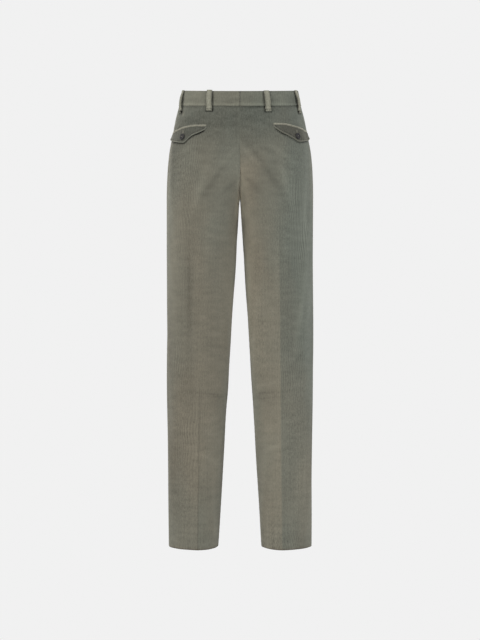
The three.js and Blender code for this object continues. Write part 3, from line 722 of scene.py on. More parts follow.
# %% Where they lie
LOOP_WIDTH, LOOP_FOOT = 13.0, -50.0
LOOPS = table(
    "name side round lean long rise front",
    ("back_left", 1, 71, 0, 1, 1.5, False),
    ("back_right", -1, 61, 4.5, 1, 0, False),
    ("side_left", 1, 161, 1, 1.1, 0, False),
    ("side_right", -1, 154, 9, 1.1, 0, False),
    ("front_left", 1, 88.5, 0, 1, 0, True),
    ("front_right", -1, 88.5, 0, 1, 0, True),
)
POCKET_EDGE = table(
    "round left right deep_left deep_right off",
    (79, -97, -92.8, 5.4, 4.4, 0.3), (85, -97.2, -93.2, 8.6, 7.8, 0.3),
    (97, -96.9, -93, 14.2, 15.8, 0.45), (112, -96.1, -93.3, 19.7, 21.8, 0.6),
    (124, -96.9, -94.9, 25.2, 25.2, 0.8), (133, -97.8, -96.1, 31.2, 27.9, 0.9),
    (139, -98.6, -97, 33.9, 29.8, 1), (146, -99.6, -97.9, 32.8, 31.8, 1.1),
    (152, -100.5, -98.7, 31.4, 31, 1.25), (170, -103.5, -101.1, 25.9, 26.5, 1.9),
    (190, -106.4, -103.1, 19.4, 21.2, 2.7), (200, -107.4, -104, 16.4, 18.3, 3.2),
    (208, -108, -104.6, 13, 13.5, 3.4),
)
pocket_line = curves([dict(row, round=-row["round"]) for row in POCKET_EDGE], along="round")
POCKET_START, POCKET_END = POCKET_EDGE[0]["round"], POCKET_EDGE[-1]["round"]


def pocket(side, distance):
    """The level of the welt's lower edge, the depth of the flap, and how far its edge stands off."""
    names = HAND[side], f"deep_{HAND[side]}", "off"
    return tuple(pocket_line[name](-distance) for name in names)


print("loops:", len(LOOPS), "pocket mouth:", POCKET_END - POCKET_START, "mm round")

# %% [markdown]
# ## The nap, with painted light and shade
# Velvet looks darker where its tufts lean away and lighter where they have been brushed flat.
# Wear and pressing leave broad soft patches of both. Light and shade are also painted into the colour
# here: lighter inner edges of the legs where they shade each other, a painted shadow in the
# seat seam above the fork, a lit and a shaded side to each back pressed line, lighter tops and
# darker hollows on the folds, and painted shadows under the flaps and beside the loops and pleats.
# Painting them by hand would need a picture, so a short table gives each patch a place on a leg,
# a size, and how much it darkens or warms.

# %% Soft patches of nap, painted light and painted shade
PATCH = "beside z wide tall tone warmth"
# Patches of lighter, darker, warmer and cooler colour. Some are the nap's own uneven tone and hue. Others are
# painted light and shade: darker strips along the outer edges of both legs, on the left hip and low on the
# inner edges; lighter inner halves where the legs shade each other; a small painted highlight below the left
# side loop; and a cooler outer half of the right leg where the cool lamp falls. Two patches make a darker,
# cooler strip just under the waistband.
NAP_AND_LIGHT_PATCHES = [
    *on_face(0, "back", PATCH,
        (-40, -56, 130, 44, -0.20, -0.32), (-30, -108, 130, 48, -0.14, -0.05)),
    *on_face(1, "back", PATCH,
        (-10, -470, 120, 380, 0.02, 0.26), (60, -330, 34, 130, 0.04, 0.05),
        (98, -120, 30, 90, -0.24, -0.1), (72, -78, 34, 34, -0.10, -0.15),
        (14, -88, 50, 20, -0.12, 0.0), (104, -190, 36, 90, -0.14, 0.0),
        (104, -740, 36, 400, -0.18, 0.0), (74, -62, 5, 7, 0.30, 0.3), (-78, -900, 30, 200, -0.16, 0.0),
        (-40, -350, 50, 90, 0.0, -0.45), (-30, -900, 60, 180, 0.0, 0.36),
        (10, -860, 95, 230, 0.0, 0.22), (84, -860, 28, 240, -0.14, 0.1),
        (-50, -400, 50, 200, 0.20, 0.0), (-42, -880, 46, 250, 0.34, 0.0),
        (30, -760, 34, 110, -0.02, 0.22)),
    *on_face(-1, "back", PATCH,
        (46, -640, 48, 440, 0.10, 0.0), (54, -960, 30, 90, 0.12, 0.0), (104, -840, 30, 80, -0.20, 0.0),
        (-80, -840, 30, 230, -0.06, 0.0), (70, -960, 60, 160, 0.0, 0.18),
        (112, -620, 28, 420, -0.14, 0.0), (60, -900, 60, 180, 0.0, 0.36),
        (-40, -600, 40, 160, 0.0, -0.22), (-84, -240, 30, 50, 0.0, 0.4),
        (95, -100, 44, 90, -0.04, -0.40), (-66, -190, 46, 64, 0.05, 0.5),
        (-50, -430, 56, 200, 0.13, 0.25), (-26, -830, 44, 220, 0.17, 0.2),
        (78, -400, 74, 360, 0.08, -0.8), (34, -950, 50, 150, 0.14, 0.0)),
    *on_face(0, "front", PATCH,
        (30, -300, 60, 160, 0.05, 0.2), (-20, -700, 70, 200, 0.04, -0.1)),
]
# Painted light along the inner edges of the legs and along the centre seam, where the legs and the seat shade
# each other. At each height z: near is a narrow lighter strip at the edge and wide is its width, broad is a
# wider lighter band, and seam is a line at the seam, lighter above the seat and a painted shadow in the cleft
# just above the fork.
INNER_EDGE_LIGHT_AND_SHADE = table(
    "z near wide broad seam",
    (0, 0, 6, 0, 0.14), (-150, 0, 6, 0, 0.14), (-185, 0, 6, 0.12, 0.08), (-208, 0.35, 6, 0.24, 0.05),
    (-223, 0.8, 5.5, 0.22, 0), (-237, 2.1, 5.5, 0.1, -0.9), (-250, 2.4, 6, 0.1, -1.1),
    (-262, 2.6, 6, 0.1, 0), (-290, 2.3, 6, 0.1, 0), (-320, 0.75, 7.5, 0.06, 0),
    (-360, 0.68, 8.5, 0.1, 0), (-420, 0.52, 9, 0.15, 0), (-540, 0.46, 7, 0.12, 0),
    (-700, 0.1, 7, 0, 0), (-840, -0.08, 7, -0.05, 0), (-OUTSEAM, -0.15, 7, -0.08, 0),
)
inner_edge_light_and_shade = curves(INNER_EDGE_LIGHT_AND_SHADE)
INNER_LIGHT_BROAD, INNER_WARMTH, INNER_WARMTH_FROM, SEAM_LINE = 26.0, 0.1, -150.0, 1.6
FOLD_PAINTED_LIGHT, FINE_FOLD_PAINTED_LIGHT = 0.02, 0.25
# Painted light and shade beside each back pressed line, as the lamp on the wearer's left lights it. For each
# side: tone and warmth are added on the side towards the centre back and taken off the other, line is a dark
# painted line along the ridge, and top and over give where and how fast they fade in.
PRESSED_LINE_LIGHT = table(
    "side tone warmth line top over",
    (1, -0.02, -0.10, -0.26, -620, 230), (-1, 0.10, 0.22, 0.0, -300, 220),
)
PRESS_TURN, PRESS_FADES, PRESS_LINE = 0.8, 60.0, 1.5
PLEAT_SHADE = [(1.2, 2.2, 0.18), (-1.6, 1.7, -0.50)]
FLAP_SHADOW, FLAP_SHADOW_TIP, FLAP_SHADOW_WIDE = 0.72, (94, 16, 0.30), 2.3
LOOP_SHADE, LOOP_SHADE_WIDE, LOOP_ROLL = dict(inner=0.62, outer=0.30, side_left=0.50), 1.9, 1.2
CALM, CALM_FADES = 0.40, 50.0
CALMER = table(
    "side out z wide tall calm",
    (0, 66, -225, 36, 60, 0.35), (1, 150, -212, 28, 64, -0.65), (1, 160, -480, 20, 140, 0.30),
    (1, 150, -800, 30, 110, -0.25), (1, 128, -980, 20, 90, -0.30), (-1, 40, -570, 22, 120, -0.60),
    (-1, 104, -340, 20, 180, -0.30), (-1, 136, -178, 20, 45, -0.6), (-1, 140, -360, 18, 60, 0.25),
    (-1, 136, -850, 27, 190, -0.5), (-1, 74, -1070, 26, 44, -0.8),
)


def flat_out(z, distance):
    """How far out a place lies from the middle of the body, looked at flat."""
    return oval(z, angle_round(z, distance))[0]


def calm_nap(side, z, distance):
    """How evenly the nap lies. It is calm on flat cloth, and ruffled where the leg brushes things."""
    out = flat_out(z, distance)
    spots = sum(spot["calm"] * peak(out - spot["out"], spot["wide"]) * peak(z - spot["z"], spot["tall"])
                for spot in CALMER if spot["side"] in (0, side))
    return CALM + smooth((side_seam(z) - distance) / CALM_FADES) * spots


# Painted light and shade together with the nap's own patches: the lighter inner edges, the line along the
# seat seam, and the table of patches.
def nap_and_painted_light(side, z, distance, kind):
    inside = flat_out(z, distance) - np.maximum(body["inner"](z), 0.0)
    broad = peak(inside, INNER_LIGHT_BROAD)
    if kind == "tone":
        value = inner_edge_light_and_shade["near"](z) * peak(inside, inner_edge_light_and_shade["wide"](z)) + inner_edge_light_and_shade["broad"](z) * broad
        value = value + inner_edge_light_and_shade["seam"](z) * peak(inside, SEAM_LINE)
    else:
        value = INNER_WARMTH * smooth((INNER_WARMTH_FROM - z) / 100) * broad
    return value + sum(spot[kind] * peak(beside_spot(spot, z, distance), spot["wide"])
                       * peak(z - spot["z"], spot["tall"]) for spot in NAP_AND_LIGHT_PATCHES if spot["side"] in (0, side))


def pressed_line_light_and_shade(side, z, distance, kind):
    """Painted light and shade on the two sides of the pressed line, one side lighter and warmer and the other
    darker and cooler, and a dark painted line along it.
    """
    facet = PRESSED_LINE_LIGHT[0 if side > 0 else 1]
    past = distance - back_press(z)
    value = -facet[kind] * np.tanh(past / PRESS_TURN) * np.exp(-np.abs(past) / PRESS_FADES)
    if kind == "tone":
        value = value + facet["line"] * peak(past, PRESS_LINE)
    return value * smooth((facet["top"] - z) / facet["over"])


def fold_light_and_shade(side, z, distance):
    """Painted light and shade on the folds: their tops are lighter and the hollows between them darker."""
    return FOLD_PAINTED_LIGHT * folded(FOLDS, side, z, distance) + FINE_FOLD_PAINTED_LIGHT * folded(FINE_FOLDS, side, z, distance)


def shaded(distance, *marks):
    """Soft lighter or darker lines beside an edge, seam or row of stitches: painted shade and painted
    highlights. Each mark is a place, a width and an amount of tone.
    """
    return sum(amount * peak(distance - place, width) for place, width, amount in marks)


def beside_pleats(z, distance):
    """A pleat's rolled edge catches the light, and shades the cloth that it lies on."""
    value = 0.0
    for pleat in PLEATS:
        past, fade = pleat_at(pleat, z, distance)
        value = value + fade * shaded(past, *PLEAT_SHADE)
    return value


def flap_shadow(side, z, distance):
    """A painted shadow just under the free edge of a pocket flap, most of all at its tip."""
    within = smooth((distance - POCKET_START) / 8) * smooth((POCKET_END + 2 - distance) / 6)
    level, deep, _ = pocket(side, distance)
    dark = FLAP_SHADOW + shaded(distance, FLAP_SHADOW_TIP)
    return -within * dark * peak(level - deep - z - 1.2, FLAP_SHADOW_WIDE)


def loop_shadows(side, level, distance):
    """Painted shadow the same round every loop: beside it, deeper towards the middle, and under its foot."""
    value = 0.0
    for loop in LOOPS:
        if loop["side"] != side:
            continue
        foot = LOOP_FOOT * loop["long"] + loop["rise"]
        leaning = loop["round"] + loop["lean"] * level / LOOP_FOOT
        past = distance - (whole_round(level) - leaning if loop["front"] else leaning)
        edge_past = np.abs(past) - LOOP_WIDTH / 2 - LOOP_ROLL
        inner = LOOP_SHADE.get(loop["name"], LOOP_SHADE["inner"])
        beside = np.where(past < 0, inner, LOOP_SHADE["outer"]) * peak(edge_past, LOOP_SHADE_WIDE)
        under = LOOP_SHADE["inner"] * peak(level - foot + 1.6, 1.6) * smooth((2.4 - edge_past) / 2.4)
        value = value - beside * smooth((level - foot + 2) / 2) - under
    return value


print("nap patches:", len(NAP_AND_LIGHT_PATCHES))

# %% [markdown]
# ## The four leg panels
# Each leg is cut as a back and a front, joined at the side seam and at the inside leg. A panel is
# a grid: rows down the leg, columns round it. The columns crowd together where the cloth turns
# sharply, at the seams, at the pressed line and at the pleats, and spread out where it is calm.
# The edges roll inwards, so that two panels meet in the small furrow that a seam has.

# %% Rows and columns of a panel
PANEL_TOP = -BAND_HEIGHT - SEAM_GAP
SHELL = 1.3
EDGE_STEPS = np.array([0.0, 0.35, 0.8, 1.4, 2.2, 3.4])
FINE_STEPS = np.array([0.0, 0.9, 2.0, 3.4])


def evenly(start, stop, pitch):
    return np.linspace(start, stop, max(2, int(abs(stop - start) / pitch) + 1))


def joined(*parts):
    rows = np.concatenate(parts)
    return rows[np.r_[True, np.abs(np.diff(rows)) > 1e-6]]


PANEL_ROWS = joined(
    PANEL_TOP - EDGE_STEPS, evenly(PANEL_TOP - 3.4, -236, 3.1), evenly(-236, -254, 1.5),
    evenly(-254, -262, 0.5), evenly(-262, -272, 1.6), evenly(-272, -700, 3.6), evenly(-700, -760, 1.5),
    evenly(-760, -OUTSEAM + 3.4, 3.6), -OUTSEAM + EDGE_STEPS[::-1],
)


def between(low, high, count, near_low, near_high):
    """Columns from one landmark to the next: crowded at each end, even in the middle."""
    share = np.linspace(0, 1, count + 1)
    inset, outset = near_low[-1], near_high[-1]
    return [
        *[(low, high, 0.0, step) for step in near_low[:-1]],
        *[(low, high, t, inset * (1 - t) - outset * t) for t in share],
        *[(low, high, 1.0, -step) for step in near_high[-2::-1]],
    ]


def places(columns, marks):
    """Distance round for every column, from the landmarks of every row."""
    low, high = ([int(c[i]) for c in columns] for i in (0, 1))
    share, extra = (np.array([c[i] for c in columns]) for i in (2, 3))
    return marks[:, low] * (1 - share) + marks[:, high] * share + extra


BACK_COLUMNS = between(0, 1, 38, EDGE_STEPS, FINE_STEPS)[:-1] + between(1, 2, 42, FINE_STEPS, EDGE_STEPS)
PLEAT_STEPS = np.array([0.0, 0.25, 0.6, 1.1, 1.8, 2.8])
FRONT_COLUMNS = (
    between(0, 1, 26, EDGE_STEPS, PLEAT_STEPS)[:-1] + between(1, 2, 9, PLEAT_STEPS, PLEAT_STEPS)[:-1]
    + between(2, 3, 34, PLEAT_STEPS, EDGE_STEPS)
)
print("rows:", len(PANEL_ROWS), "columns behind:", len(BACK_COLUMNS), "in front:", len(FRONT_COLUMNS))


# %% Make the panels
PUCKERS, PUCKER_REACH = [(15.5, 0.11, 1.0), (9.7, 0.077, 2.3)], 9.0
SEAM_ROLL, WAIST_ROLL, HEM_ROLL = (2.6, 0.9), (2.2, 0.8), (1.2, 0.5)
# The hem's edge is painted with a warm brownish line of shade.
HEM_TURN, HEM_SHADE, HEM_SHADE_WARMTH = 40.0, (0, 2.3, -0.55), (0, 3.0, 0.9)
HEM_THICK, TURNING, TURNING_THICK = 1.2, 9.0, 0.9
WAIST_SHADE = {"left": (0, 3.6, -0.20), "right": (0, 3.6, -0.30)}


def back_marks(level):
    return np.stack([np.zeros_like(level), back_press(level), side_seam(level) - HALF_GAP], axis=-1)


def front_marks(level):
    second, main = (front_press(level) - pleat["beside"] for pleat in (PLEATS[1], PLEATS[0]))
    return np.stack([side_seam(level) + HALF_GAP, second, main, whole_round(level)], axis=-1)


def puckers(side, z, away):
    """Small ripples that a seam's thread pulls into the cloth beside it."""
    ripple = sum(high * np.sin(2 * math.pi * z / long + shift * side) for long, high, shift in PUCKERS)
    return ripple * np.exp(-np.abs(away) / PUCKER_REACH)


def closed_at_centre(points, side, z, column):
    """Above the fork, brings one column of a grid right up to the middle of the body."""
    points[z[:, column] > FORK - 0.5, column, 0] = side * HALF_GAP


def panel(name, side, marks_of, columns, node):
    level = PANEL_ROWS[:, None]
    marks = marks_of(PANEL_ROWS)
    start = places(columns, marks)
    z, distance = settled(level, start)
    to_side = np.minimum(np.abs(start - marks[:, :1]), np.abs(start - marks[:, -1:]))
    to_top, to_hem = PANEL_TOP - level, level + OUTSEAM
    down = rolled(to_side, *SEAM_ROLL) + rolled(to_top, *WAIST_ROLL) + rolled(to_hem, *HEM_ROLL)
    down = down + groove(to_hem - HEM_TURN, 2.5, 0.12)
    face = cloth(side, z, distance, puckers(side, z, to_side) - down)
    wall = SHELL + HEM_THICK * smooth((HEM_TURN - to_hem) / 1.5) + TURNING_THICK * smooth(TURNING - to_side)
    back = cloth(side, z, distance, -down - wall)
    behind = "back" in node
    for points in (face, back):
        closed_at_centre(points, side, z, 0 if behind else -1)
    line = back_press(z) if behind else front_press(z)
    # The colour adds painted light and shade to the nap's own patches: lighter inner edges, the lit and
    # shaded sides of the pressed line, lighter fold tops and darker hollows, painted shadows beside the
    # loops, under the flaps and beside the pleats, and painted shade at the waist seam and at the hem.
    tone, warmth = (nap_and_painted_light(side, z, distance, kind) for kind in ("tone", "warmth"))
    tone = tone + fold_light_and_shade(side, z, distance) + loop_shadows(side, level, start)
    if behind:
        tone = tone + pressed_line_light_and_shade(side, z, distance, "tone") + flap_shadow(side, z, distance)
        warmth = warmth + pressed_line_light_and_shade(side, z, distance, "warmth")
    else:
        tone = tone + beside_pleats(z, distance)
    tone = tone + shaded(to_top, WAIST_SHADE[HAND[side]]) + shaded(to_hem, HEM_SHADE)
    warmth = warmth + shaded(to_hem, HEM_SHADE_WARMTH)
    made = sheet(name, face, back, flat(side * (distance - line), z), "corduroy", [CORDUROY, WRONG_SIDE],
                 node, tone=tone, warmth=warmth, calm=calm_nap(side, z, distance))
    wide = float(np.ptp(start, axis=1).max()) * MM
    long = (OUTSEAM - BAND_HEIGHT + DIP_BACK) * MM
    cut_to(made, wide, long, face, "hung", f"band_{HAND[side]}")
    print(name, "cut", round(wide, 3), "by", round(long, 3))


for side, hand in HANDS:
    panel(f"back_panel_{hand}", side, back_marks, BACK_COLUMNS, f"back_{hand}")
    panel(f"front_panel_{hand}", side, front_marks, FRONT_COLUMNS, f"front_{hand}")

# %% [markdown]
# ## The waistband
# A waistband is a strip folded over stiffening, so it is thicker than the panels, stands a little
# proud of them and has a rounded fold along its top. Its lower edge is sewn down, which pulls a
# shallow dent above the seam. It is made in two halves, which meet at the centre back seam.

# %% Make the two halves of the band
BAND_PROUD, BAND_WALL = 0.9, 2.6
# Painted shade and light on the band: shade along its folded top; a painted shadow line at its foot, with a
# painted highlight on the ridge just above it and a darker strip higher up; a dark line at the centre back
# seam; and a painted shadow of the side loop near each side, much deeper on the right.
BAND_SHADE = dict(
    top=[(0, 2.0, -0.26)],
    foot=[(0, 1.4, -0.22), (4.4, 2.4, 0.16), (15, 6, -0.10)],
    left=[(0, 1.1, -0.55), (105, 40, 0.06), (165, 30, -0.12)],
    right=[(0, 1.1, -0.55), (105, 40, 0.06), (165, 30, -0.46)],
)
BAND_ROWS = -joined([0, 0.3, 0.8, 1.5], -evenly(-2.4, -33.5, 1.7), [34.8, 35.8, 36.5, 37.0])
BAND_COLUMNS = between(0, 1, 150, EDGE_STEPS, EDGE_STEPS)

for side, hand in HANDS:
    level = BAND_ROWS[:, None]
    ends = np.stack([np.zeros_like(BAND_ROWS), whole_round(BAND_ROWS)], axis=-1)
    start = places(BAND_COLUMNS, ends)
    z, distance = settled(level, start)
    to_end = np.minimum(start, ends[:, 1:] - start)
    to_top, to_foot = -level, level + BAND_HEIGHT
    down = rolled(to_top, 2.6, 1.3) + rolled(to_foot, 1.8, 0.7) + rolled(to_end, 1.8, 0.6)
    down = down + groove(to_foot - 5.5, 2.6, 0.28)
    ease = np.sin(2 * math.pi * distance / 23 + 2 * side) + np.sin(2 * math.pi * distance / 14.3)
    down = down - 0.12 * ease * smooth((16 - to_foot) / 16)
    face = cloth(side, z, distance, BAND_PROUD - down)
    back = cloth(side, z, distance, BAND_PROUD - BAND_WALL + rolled(to_top, 1.6, 0.6))
    for points in (face, back):
        points[:, [0, -1], 0] = side * HALF_GAP
    tone = loop_shadows(side, level, start) + shaded(to_top, *BAND_SHADE["top"])
    tone = tone + shaded(to_foot, *BAND_SHADE["foot"]) + shaded(start, *BAND_SHADE[hand])
    # The right half is painted cooler towards the side seam: painted cool light.
    warmth = 0.0 if side > 0 else -0.1 - 0.7 * smooth(start / 170)
    band = sheet(f"band_{hand}", face, back, flat(side * distance, z), "waistband_corduroy",
                 [LIT_BAND_CORDUROY, WRONG_SIDE], f"waistband_{hand}", tone=tone, warmth=warmth, calm=0.45)
    cut_to(band, float(whole_round(-18.0)) * MM, BAND_HEIGHT * MM, face, "gathered",
           f"back_panel_{hand}", f"front_panel_{hand}")
    print(band.name, "cut", [round(v, 3) for v in CUTS[band.name]["flat"]])

# %% [markdown]
# ## Belt loops
# A belt loop is a narrow strip, folded so that its raw edges are inside, stitched along both
# sides and tacked down at both ends. It bows out, so that a belt can pass. The strip is made as
# a profile across, with a rounded edge and a dent under each row of stitches, and that profile is
# carried down a short table of how far the loop stands off the cloth.

# %% Make the six loops
LOOP_WALL = 2.3
LOOP_PATH = table(
    "z off",
    (0.3, 1.3), (-5, 1.5), (-11, 3.1), (-19, 4.3), (-28, 4.3), (-36, 3.2), (-41, 1.3), (-45, 0.45),
    (-50, 0.35),
)
loop_off = curve(LOOP_PATH, "off")
LOOP_TOP = LOOP_PATH[0]["z"]
LOOP_STITCH, TACK = 4.3, 41.0
# How much each side loop is painted darker or lighter, as it is seen edge on. The left one gets painted
# shade.
SIDE_LOOP_SHADE = dict(left=-0.28, right=0.06)


def on_loop(loop, drop, across, off):
    """Points of a loop: drop down its length, across its width, off its inner face."""
    down = (LOOP_TOP - drop) / (LOOP_TOP - LOOP_FOOT)
    level = drop * loop["long"] + loop["rise"]
    distance = loop["round"] + loop["lean"] * down + across
    if loop["front"]:
        distance = whole_round(level) - distance
    z, distance = settled(level, distance)
    return cloth(loop["side"], z, distance, off)


def tacked(drop):
    """How far the loop is turned under and tacked: 0 along it, 1 at its foot."""
    return smooth((-drop - TACK) / 2.5)


def loop_light_and_shade(loop, share, drop):
    """Painted light and shade on a loop: pale in the middle, dark along both edges and at the bartack. The
    side loops differ.
    """
    tone = 0.14 * (1 - share**2) - 0.52 * share**6 + shaded(drop, (-46.5, 2.2, -0.34))
    if "side" in loop["name"]:
        tone = tone + SIDE_LOOP_SHADE[HAND[loop["side"]]] + 0.30 * share**6 + shaded(drop, (-47.5, 5.0, -0.30))
    return tone


LOOP_ROWS = joined(evenly(LOOP_TOP, LOOP_TOP - 1.2, 0.4), evenly(LOOP_TOP - 1.2, -42, 1.5),
                   evenly(-42, LOOP_FOOT + 1.2, 0.7), evenly(LOOP_FOOT + 1.2, LOOP_FOOT, 0.3))
LOOP_SHARES = np.sin(np.linspace(-1, 1, 25) * math.pi / 2)
for loop in LOOPS:
    drop = LOOP_ROWS[:, None]
    share = LOOP_SHARES[None, :]
    half = LOOP_WIDTH / 2 + 0.6 * tacked(drop)
    across = share * half
    into_edge = np.clip(np.abs(across) - half + 1.2, 0, 1.2) / 1.2
    to_end = np.minimum(LOOP_TOP - drop, drop - LOOP_FOOT)
    wall = LOOP_WALL * (0.35 + 0.65 * np.sqrt(1 - into_edge**2)) + 0.9 * tacked(drop)
    wall = wall - groove(np.abs(across) - LOOP_STITCH, 0.8, 0.42) - rolled(to_end, 1.4, 1.0)
    wall = wall - groove(drop + TACK, 1.0, 0.5) + 0.25 * (1 - share**2)
    off = loop_off(drop)
    face = on_loop(loop, drop, across, off + wall)
    made = sheet(f"loop_{loop['name']}", face, on_loop(loop, drop, across, off), flat(across, drop),
                 "waistband_corduroy", [LIT_LOOP_CORDUROY], f"belt_loop_{loop['name']}",
                 tone=loop_light_and_shade(loop, share, drop))
    hand, half_name = HAND[loop["side"]], "front" if loop["front"] else "back"
    cut_to(made, LOOP_WIDTH * MM, (LOOP_TOP - LOOP_FOOT) * loop["long"] * MM, face, "hung",
           f"band_{hand}", f"{half_name}_panel_{hand}")
print("loops:", len(LOOPS), "each", LOOP_WIDTH, "mm wide")

# %% [markdown]
# ## Stitches
# A seam that shows is a row of short threads, each diving into the cloth at both ends. Hundreds
# of separate objects would be slow, so one helper measures a path on the cloth, cuts it into
# stitches and joins them all into a single mesh of small six-sided spindles.

# %% The helper that sews along a path
def spindle(start, stop, lift, radius):
    """Points and faces of one stitch between two points, humped away from the cloth."""
    axis = stop - start
    wide = np.cross(axis, lift)
    wide = wide / np.linalg.norm(wide)
    turn = np.linspace(0, 2 * math.pi, 6, endpoint=False)
    ring = radius * (np.cos(turn)[:, None] * wide + np.sin(turn)[:, None] * lift)
    points = [start - lift * radius * 0.6]
    for share, size in ((0.18, 0.8), (0.5, 1.0), (0.82, 0.8)):
        points.extend(start + axis * share + lift * radius * 0.35 + ring * size)
    points.append(stop - lift * radius * 0.6)
    faces = [(0, 1 + (k + 1) % 6, 1 + k) for k in range(6)]
    for band in (1, 7):
        faces += [(band + k, band + (k + 1) % 6, band + 6 + (k + 1) % 6, band + 6 + k) for k in range(6)]
    faces += [(13 + k, 13 + (k + 1) % 6, 19) for k in range(6)]
    return points, faces


def joined_up(shapes):
    """The points and faces of many small shapes, as one list of each."""
    points, faces = [], []
    for more, sides in shapes:
        faces += [tuple(i + len(points) for i in side) for side in sides]
        points += more
    return points, faces


def mesh_of(name, points, faces, material, faceted=False):
    mesh = bpy.data.meshes.new(name)
    mesh.from_pydata((np.array(points) * MM).tolist(), [], faces)
    mesh.materials.append(material)
    mesh.polygons.foreach_set("use_smooth", np.full(len(faces), not faceted))
    mesh.validate()
    return mesh


def point_along(step, path, s):
    return np.array([np.interp(s, step, path[:, i]) for i in range(3)])


def stitches(rows, length=2.5, gap=0.7, radius=0.24):
    """All the stitches of some rows. A row is a path of points and the way out of the cloth."""
    shapes = []
    for path, lift in rows:
        step = np.r_[0, np.cumsum(np.linalg.norm(np.diff(path, axis=0), axis=1))]
        count = max(1, int(step[-1] / (length + gap)))
        pitch = step[-1] / count
        for k in range(count):
            first, last = k * pitch, (k + length / (length + gap)) * pitch
            start, stop = (point_along(step, path, s) for s in (first, last))
            up = point_along(step, lift, first)
            shapes.append(spindle(start, stop, up / np.linalg.norm(up), radius))
    return joined_up(shapes)


def sew(name, rows, slot, material, **sizes):
    points, faces = stitches(rows, **sizes)
    new_piece(name, mesh_of(name, points, faces, material))
    print(name, "stitches:", len(points) // 20)


def with_lift(place, *where):
    """A path of points, and the way out of the cloth at each."""
    low, high = place(*where, 0.0), place(*where, 1.0)
    return low, high - low


STITCH_SUNK = 0.32
loop_rows = []
for loop in LOOPS:
    drop = np.linspace(-3, -46, 40)
    for across in (-LOOP_STITCH, LOOP_STITCH):
        def seat(drop, across, more, loop=loop):
            off = loop_off(drop) + LOOP_WALL + 0.7 * tacked(drop) - STITCH_SUNK
            return on_loop(loop, drop, across, off + more)
        loop_rows.append(with_lift(seat, drop, across))
sew("loop_stitches", loop_rows, "waistband_corduroy", THREAD)

# %% [markdown]
# ## Back pockets
# Each back pocket opens under a welt, a narrow roll of cloth that catches the light, and is
# closed by a pointed flap that hangs from the welt and buttons down. The flap is two layers, so
# its edge is thick and rounded, and it stands away from the trousers towards the side. The table
# above gives the line of the welt, the depth of the flap and how far its free edge stands off.

# %% A point of a flap
LAY_GAP, TUCKED = 0.3, 0.05
WELT_HEIGHT, WELT_WALL, FLAP_WALL = 5.0, 1.9, 1.9
# How much lighter each welt is painted: a painted highlight on the roll, brighter on the right.
WELT_LIGHT = dict(left=0.10, right=0.24)


def flap_point(side, distance, down, more=0.0):
    """A point of a flap: `down` millimetres below the welt, `more` off the flap's inner face."""
    level, deep, off = pocket(side, distance)
    return cloth(side, level - TUCKED - down, distance, LAY_GAP + off * (down / deep) ** 2 + more)


print("flap hangs from a welt", WELT_HEIGHT, "mm high")

# %% Make the welts and the flaps
WELT_PROFILE = np.linspace(0, math.pi, 11)
FLAP_SHARES = joined([0, 0.012, 0.03], np.linspace(0.06, 0.86, 15), [0.9, 0.935, 0.965, 0.985, 1.0])
POCKET_PLACES = joined(POCKET_START + EDGE_STEPS, evenly(POCKET_START + 3.4, POCKET_END - 3.4, 1.6),
                       POCKET_END - EDGE_STEPS[::-1])

for side, hand in HANDS:
    distance = POCKET_PLACES[None, :]
    turn = WELT_PROFILE[:, None]
    ends = np.clip(np.minimum(distance - POCKET_START, POCKET_END - distance) / 7, 0, 1)
    ends = 0.25 + 0.75 * np.sqrt(ends)
    rise = WELT_HEIGHT * (0.5 - 0.5 * np.cos(turn) * (0.4 + 0.6 * ends))
    level, deep, _ = pocket(side, distance)
    z = level + rise
    face = cloth(side, z, distance, LAY_GAP + 0.3 + WELT_WALL * np.sin(turn) * ends)
    back = cloth(side, z, distance, LAY_GAP)
    sheet(f"welt_{hand}", face, back, flat(z, side * distance), "pocket_corduroy", [LIT_EDGE_CORDUROY],
          f"pocket_welt_{hand}", tone=WELT_LIGHT[hand])

    down = FLAP_SHARES[:, None] * deep
    to_edge = np.minimum(deep - down, np.minimum(distance - POCKET_START, POCKET_END - distance))
    wall = FLAP_WALL - rolled(to_edge, 1.7, 1.3) - groove(to_edge - 2.6, 0.9, 0.3)
    wall = wall + 0.5 * peak(to_edge - 1.2, 1.0)
    face = flap_point(side, distance, down, wall)
    back = flap_point(side, distance, down, rolled(to_edge, 1.7, -0.25))
    # The flap's rolled edge is painted lighter, a painted highlight, with a darker line of painted shade just
    # inside its stitching.
    made = sheet(f"flap_{hand}", face, back, flat(side * distance, -down), "pocket_corduroy", [SHADED_FLAP_CORDUROY],
                 f"pocket_flap_{hand}", tone=shaded(to_edge, (0.7, 1.3, 0.95), (3.6, 1.6, -0.2)))
    cut_to(made, (POCKET_END - POCKET_START) * MM, float(deep.max()) * MM, face, "hung",
           f"back_panel_{hand}")
    print(f"flap_{hand} is", round(float(deep.max()), 1), "mm deep at its point")

# %% Edge stitching of the flaps
flap_rows = []
for side, hand in HANDS:
    distance = np.linspace(POCKET_START + 3, POCKET_END - 3.5, 160)
    down = pocket(side, distance)[1] - 2.6
    flap_rows.append(with_lift(lambda d, w, more, s=side: flap_point(s, d, w, FLAP_WALL - 0.35 + more),
                               distance, down))
sew("flap_stitches", flap_rows, "pocket_corduroy", THREAD)

# %% [markdown]
# ## Horn buttons and buttonholes
# A trouser button is turned from a disc of horn: a raised rim, a dished middle and four drilled
# holes, with thread crossed through them. A Boolean modifier drills the holes and is applied at
# once, so that no cutter is left behind. A buttonhole is a slit bound with close stitches laid
# across its edge, so it is sewn with the same stitch helper, fanned round both ends.

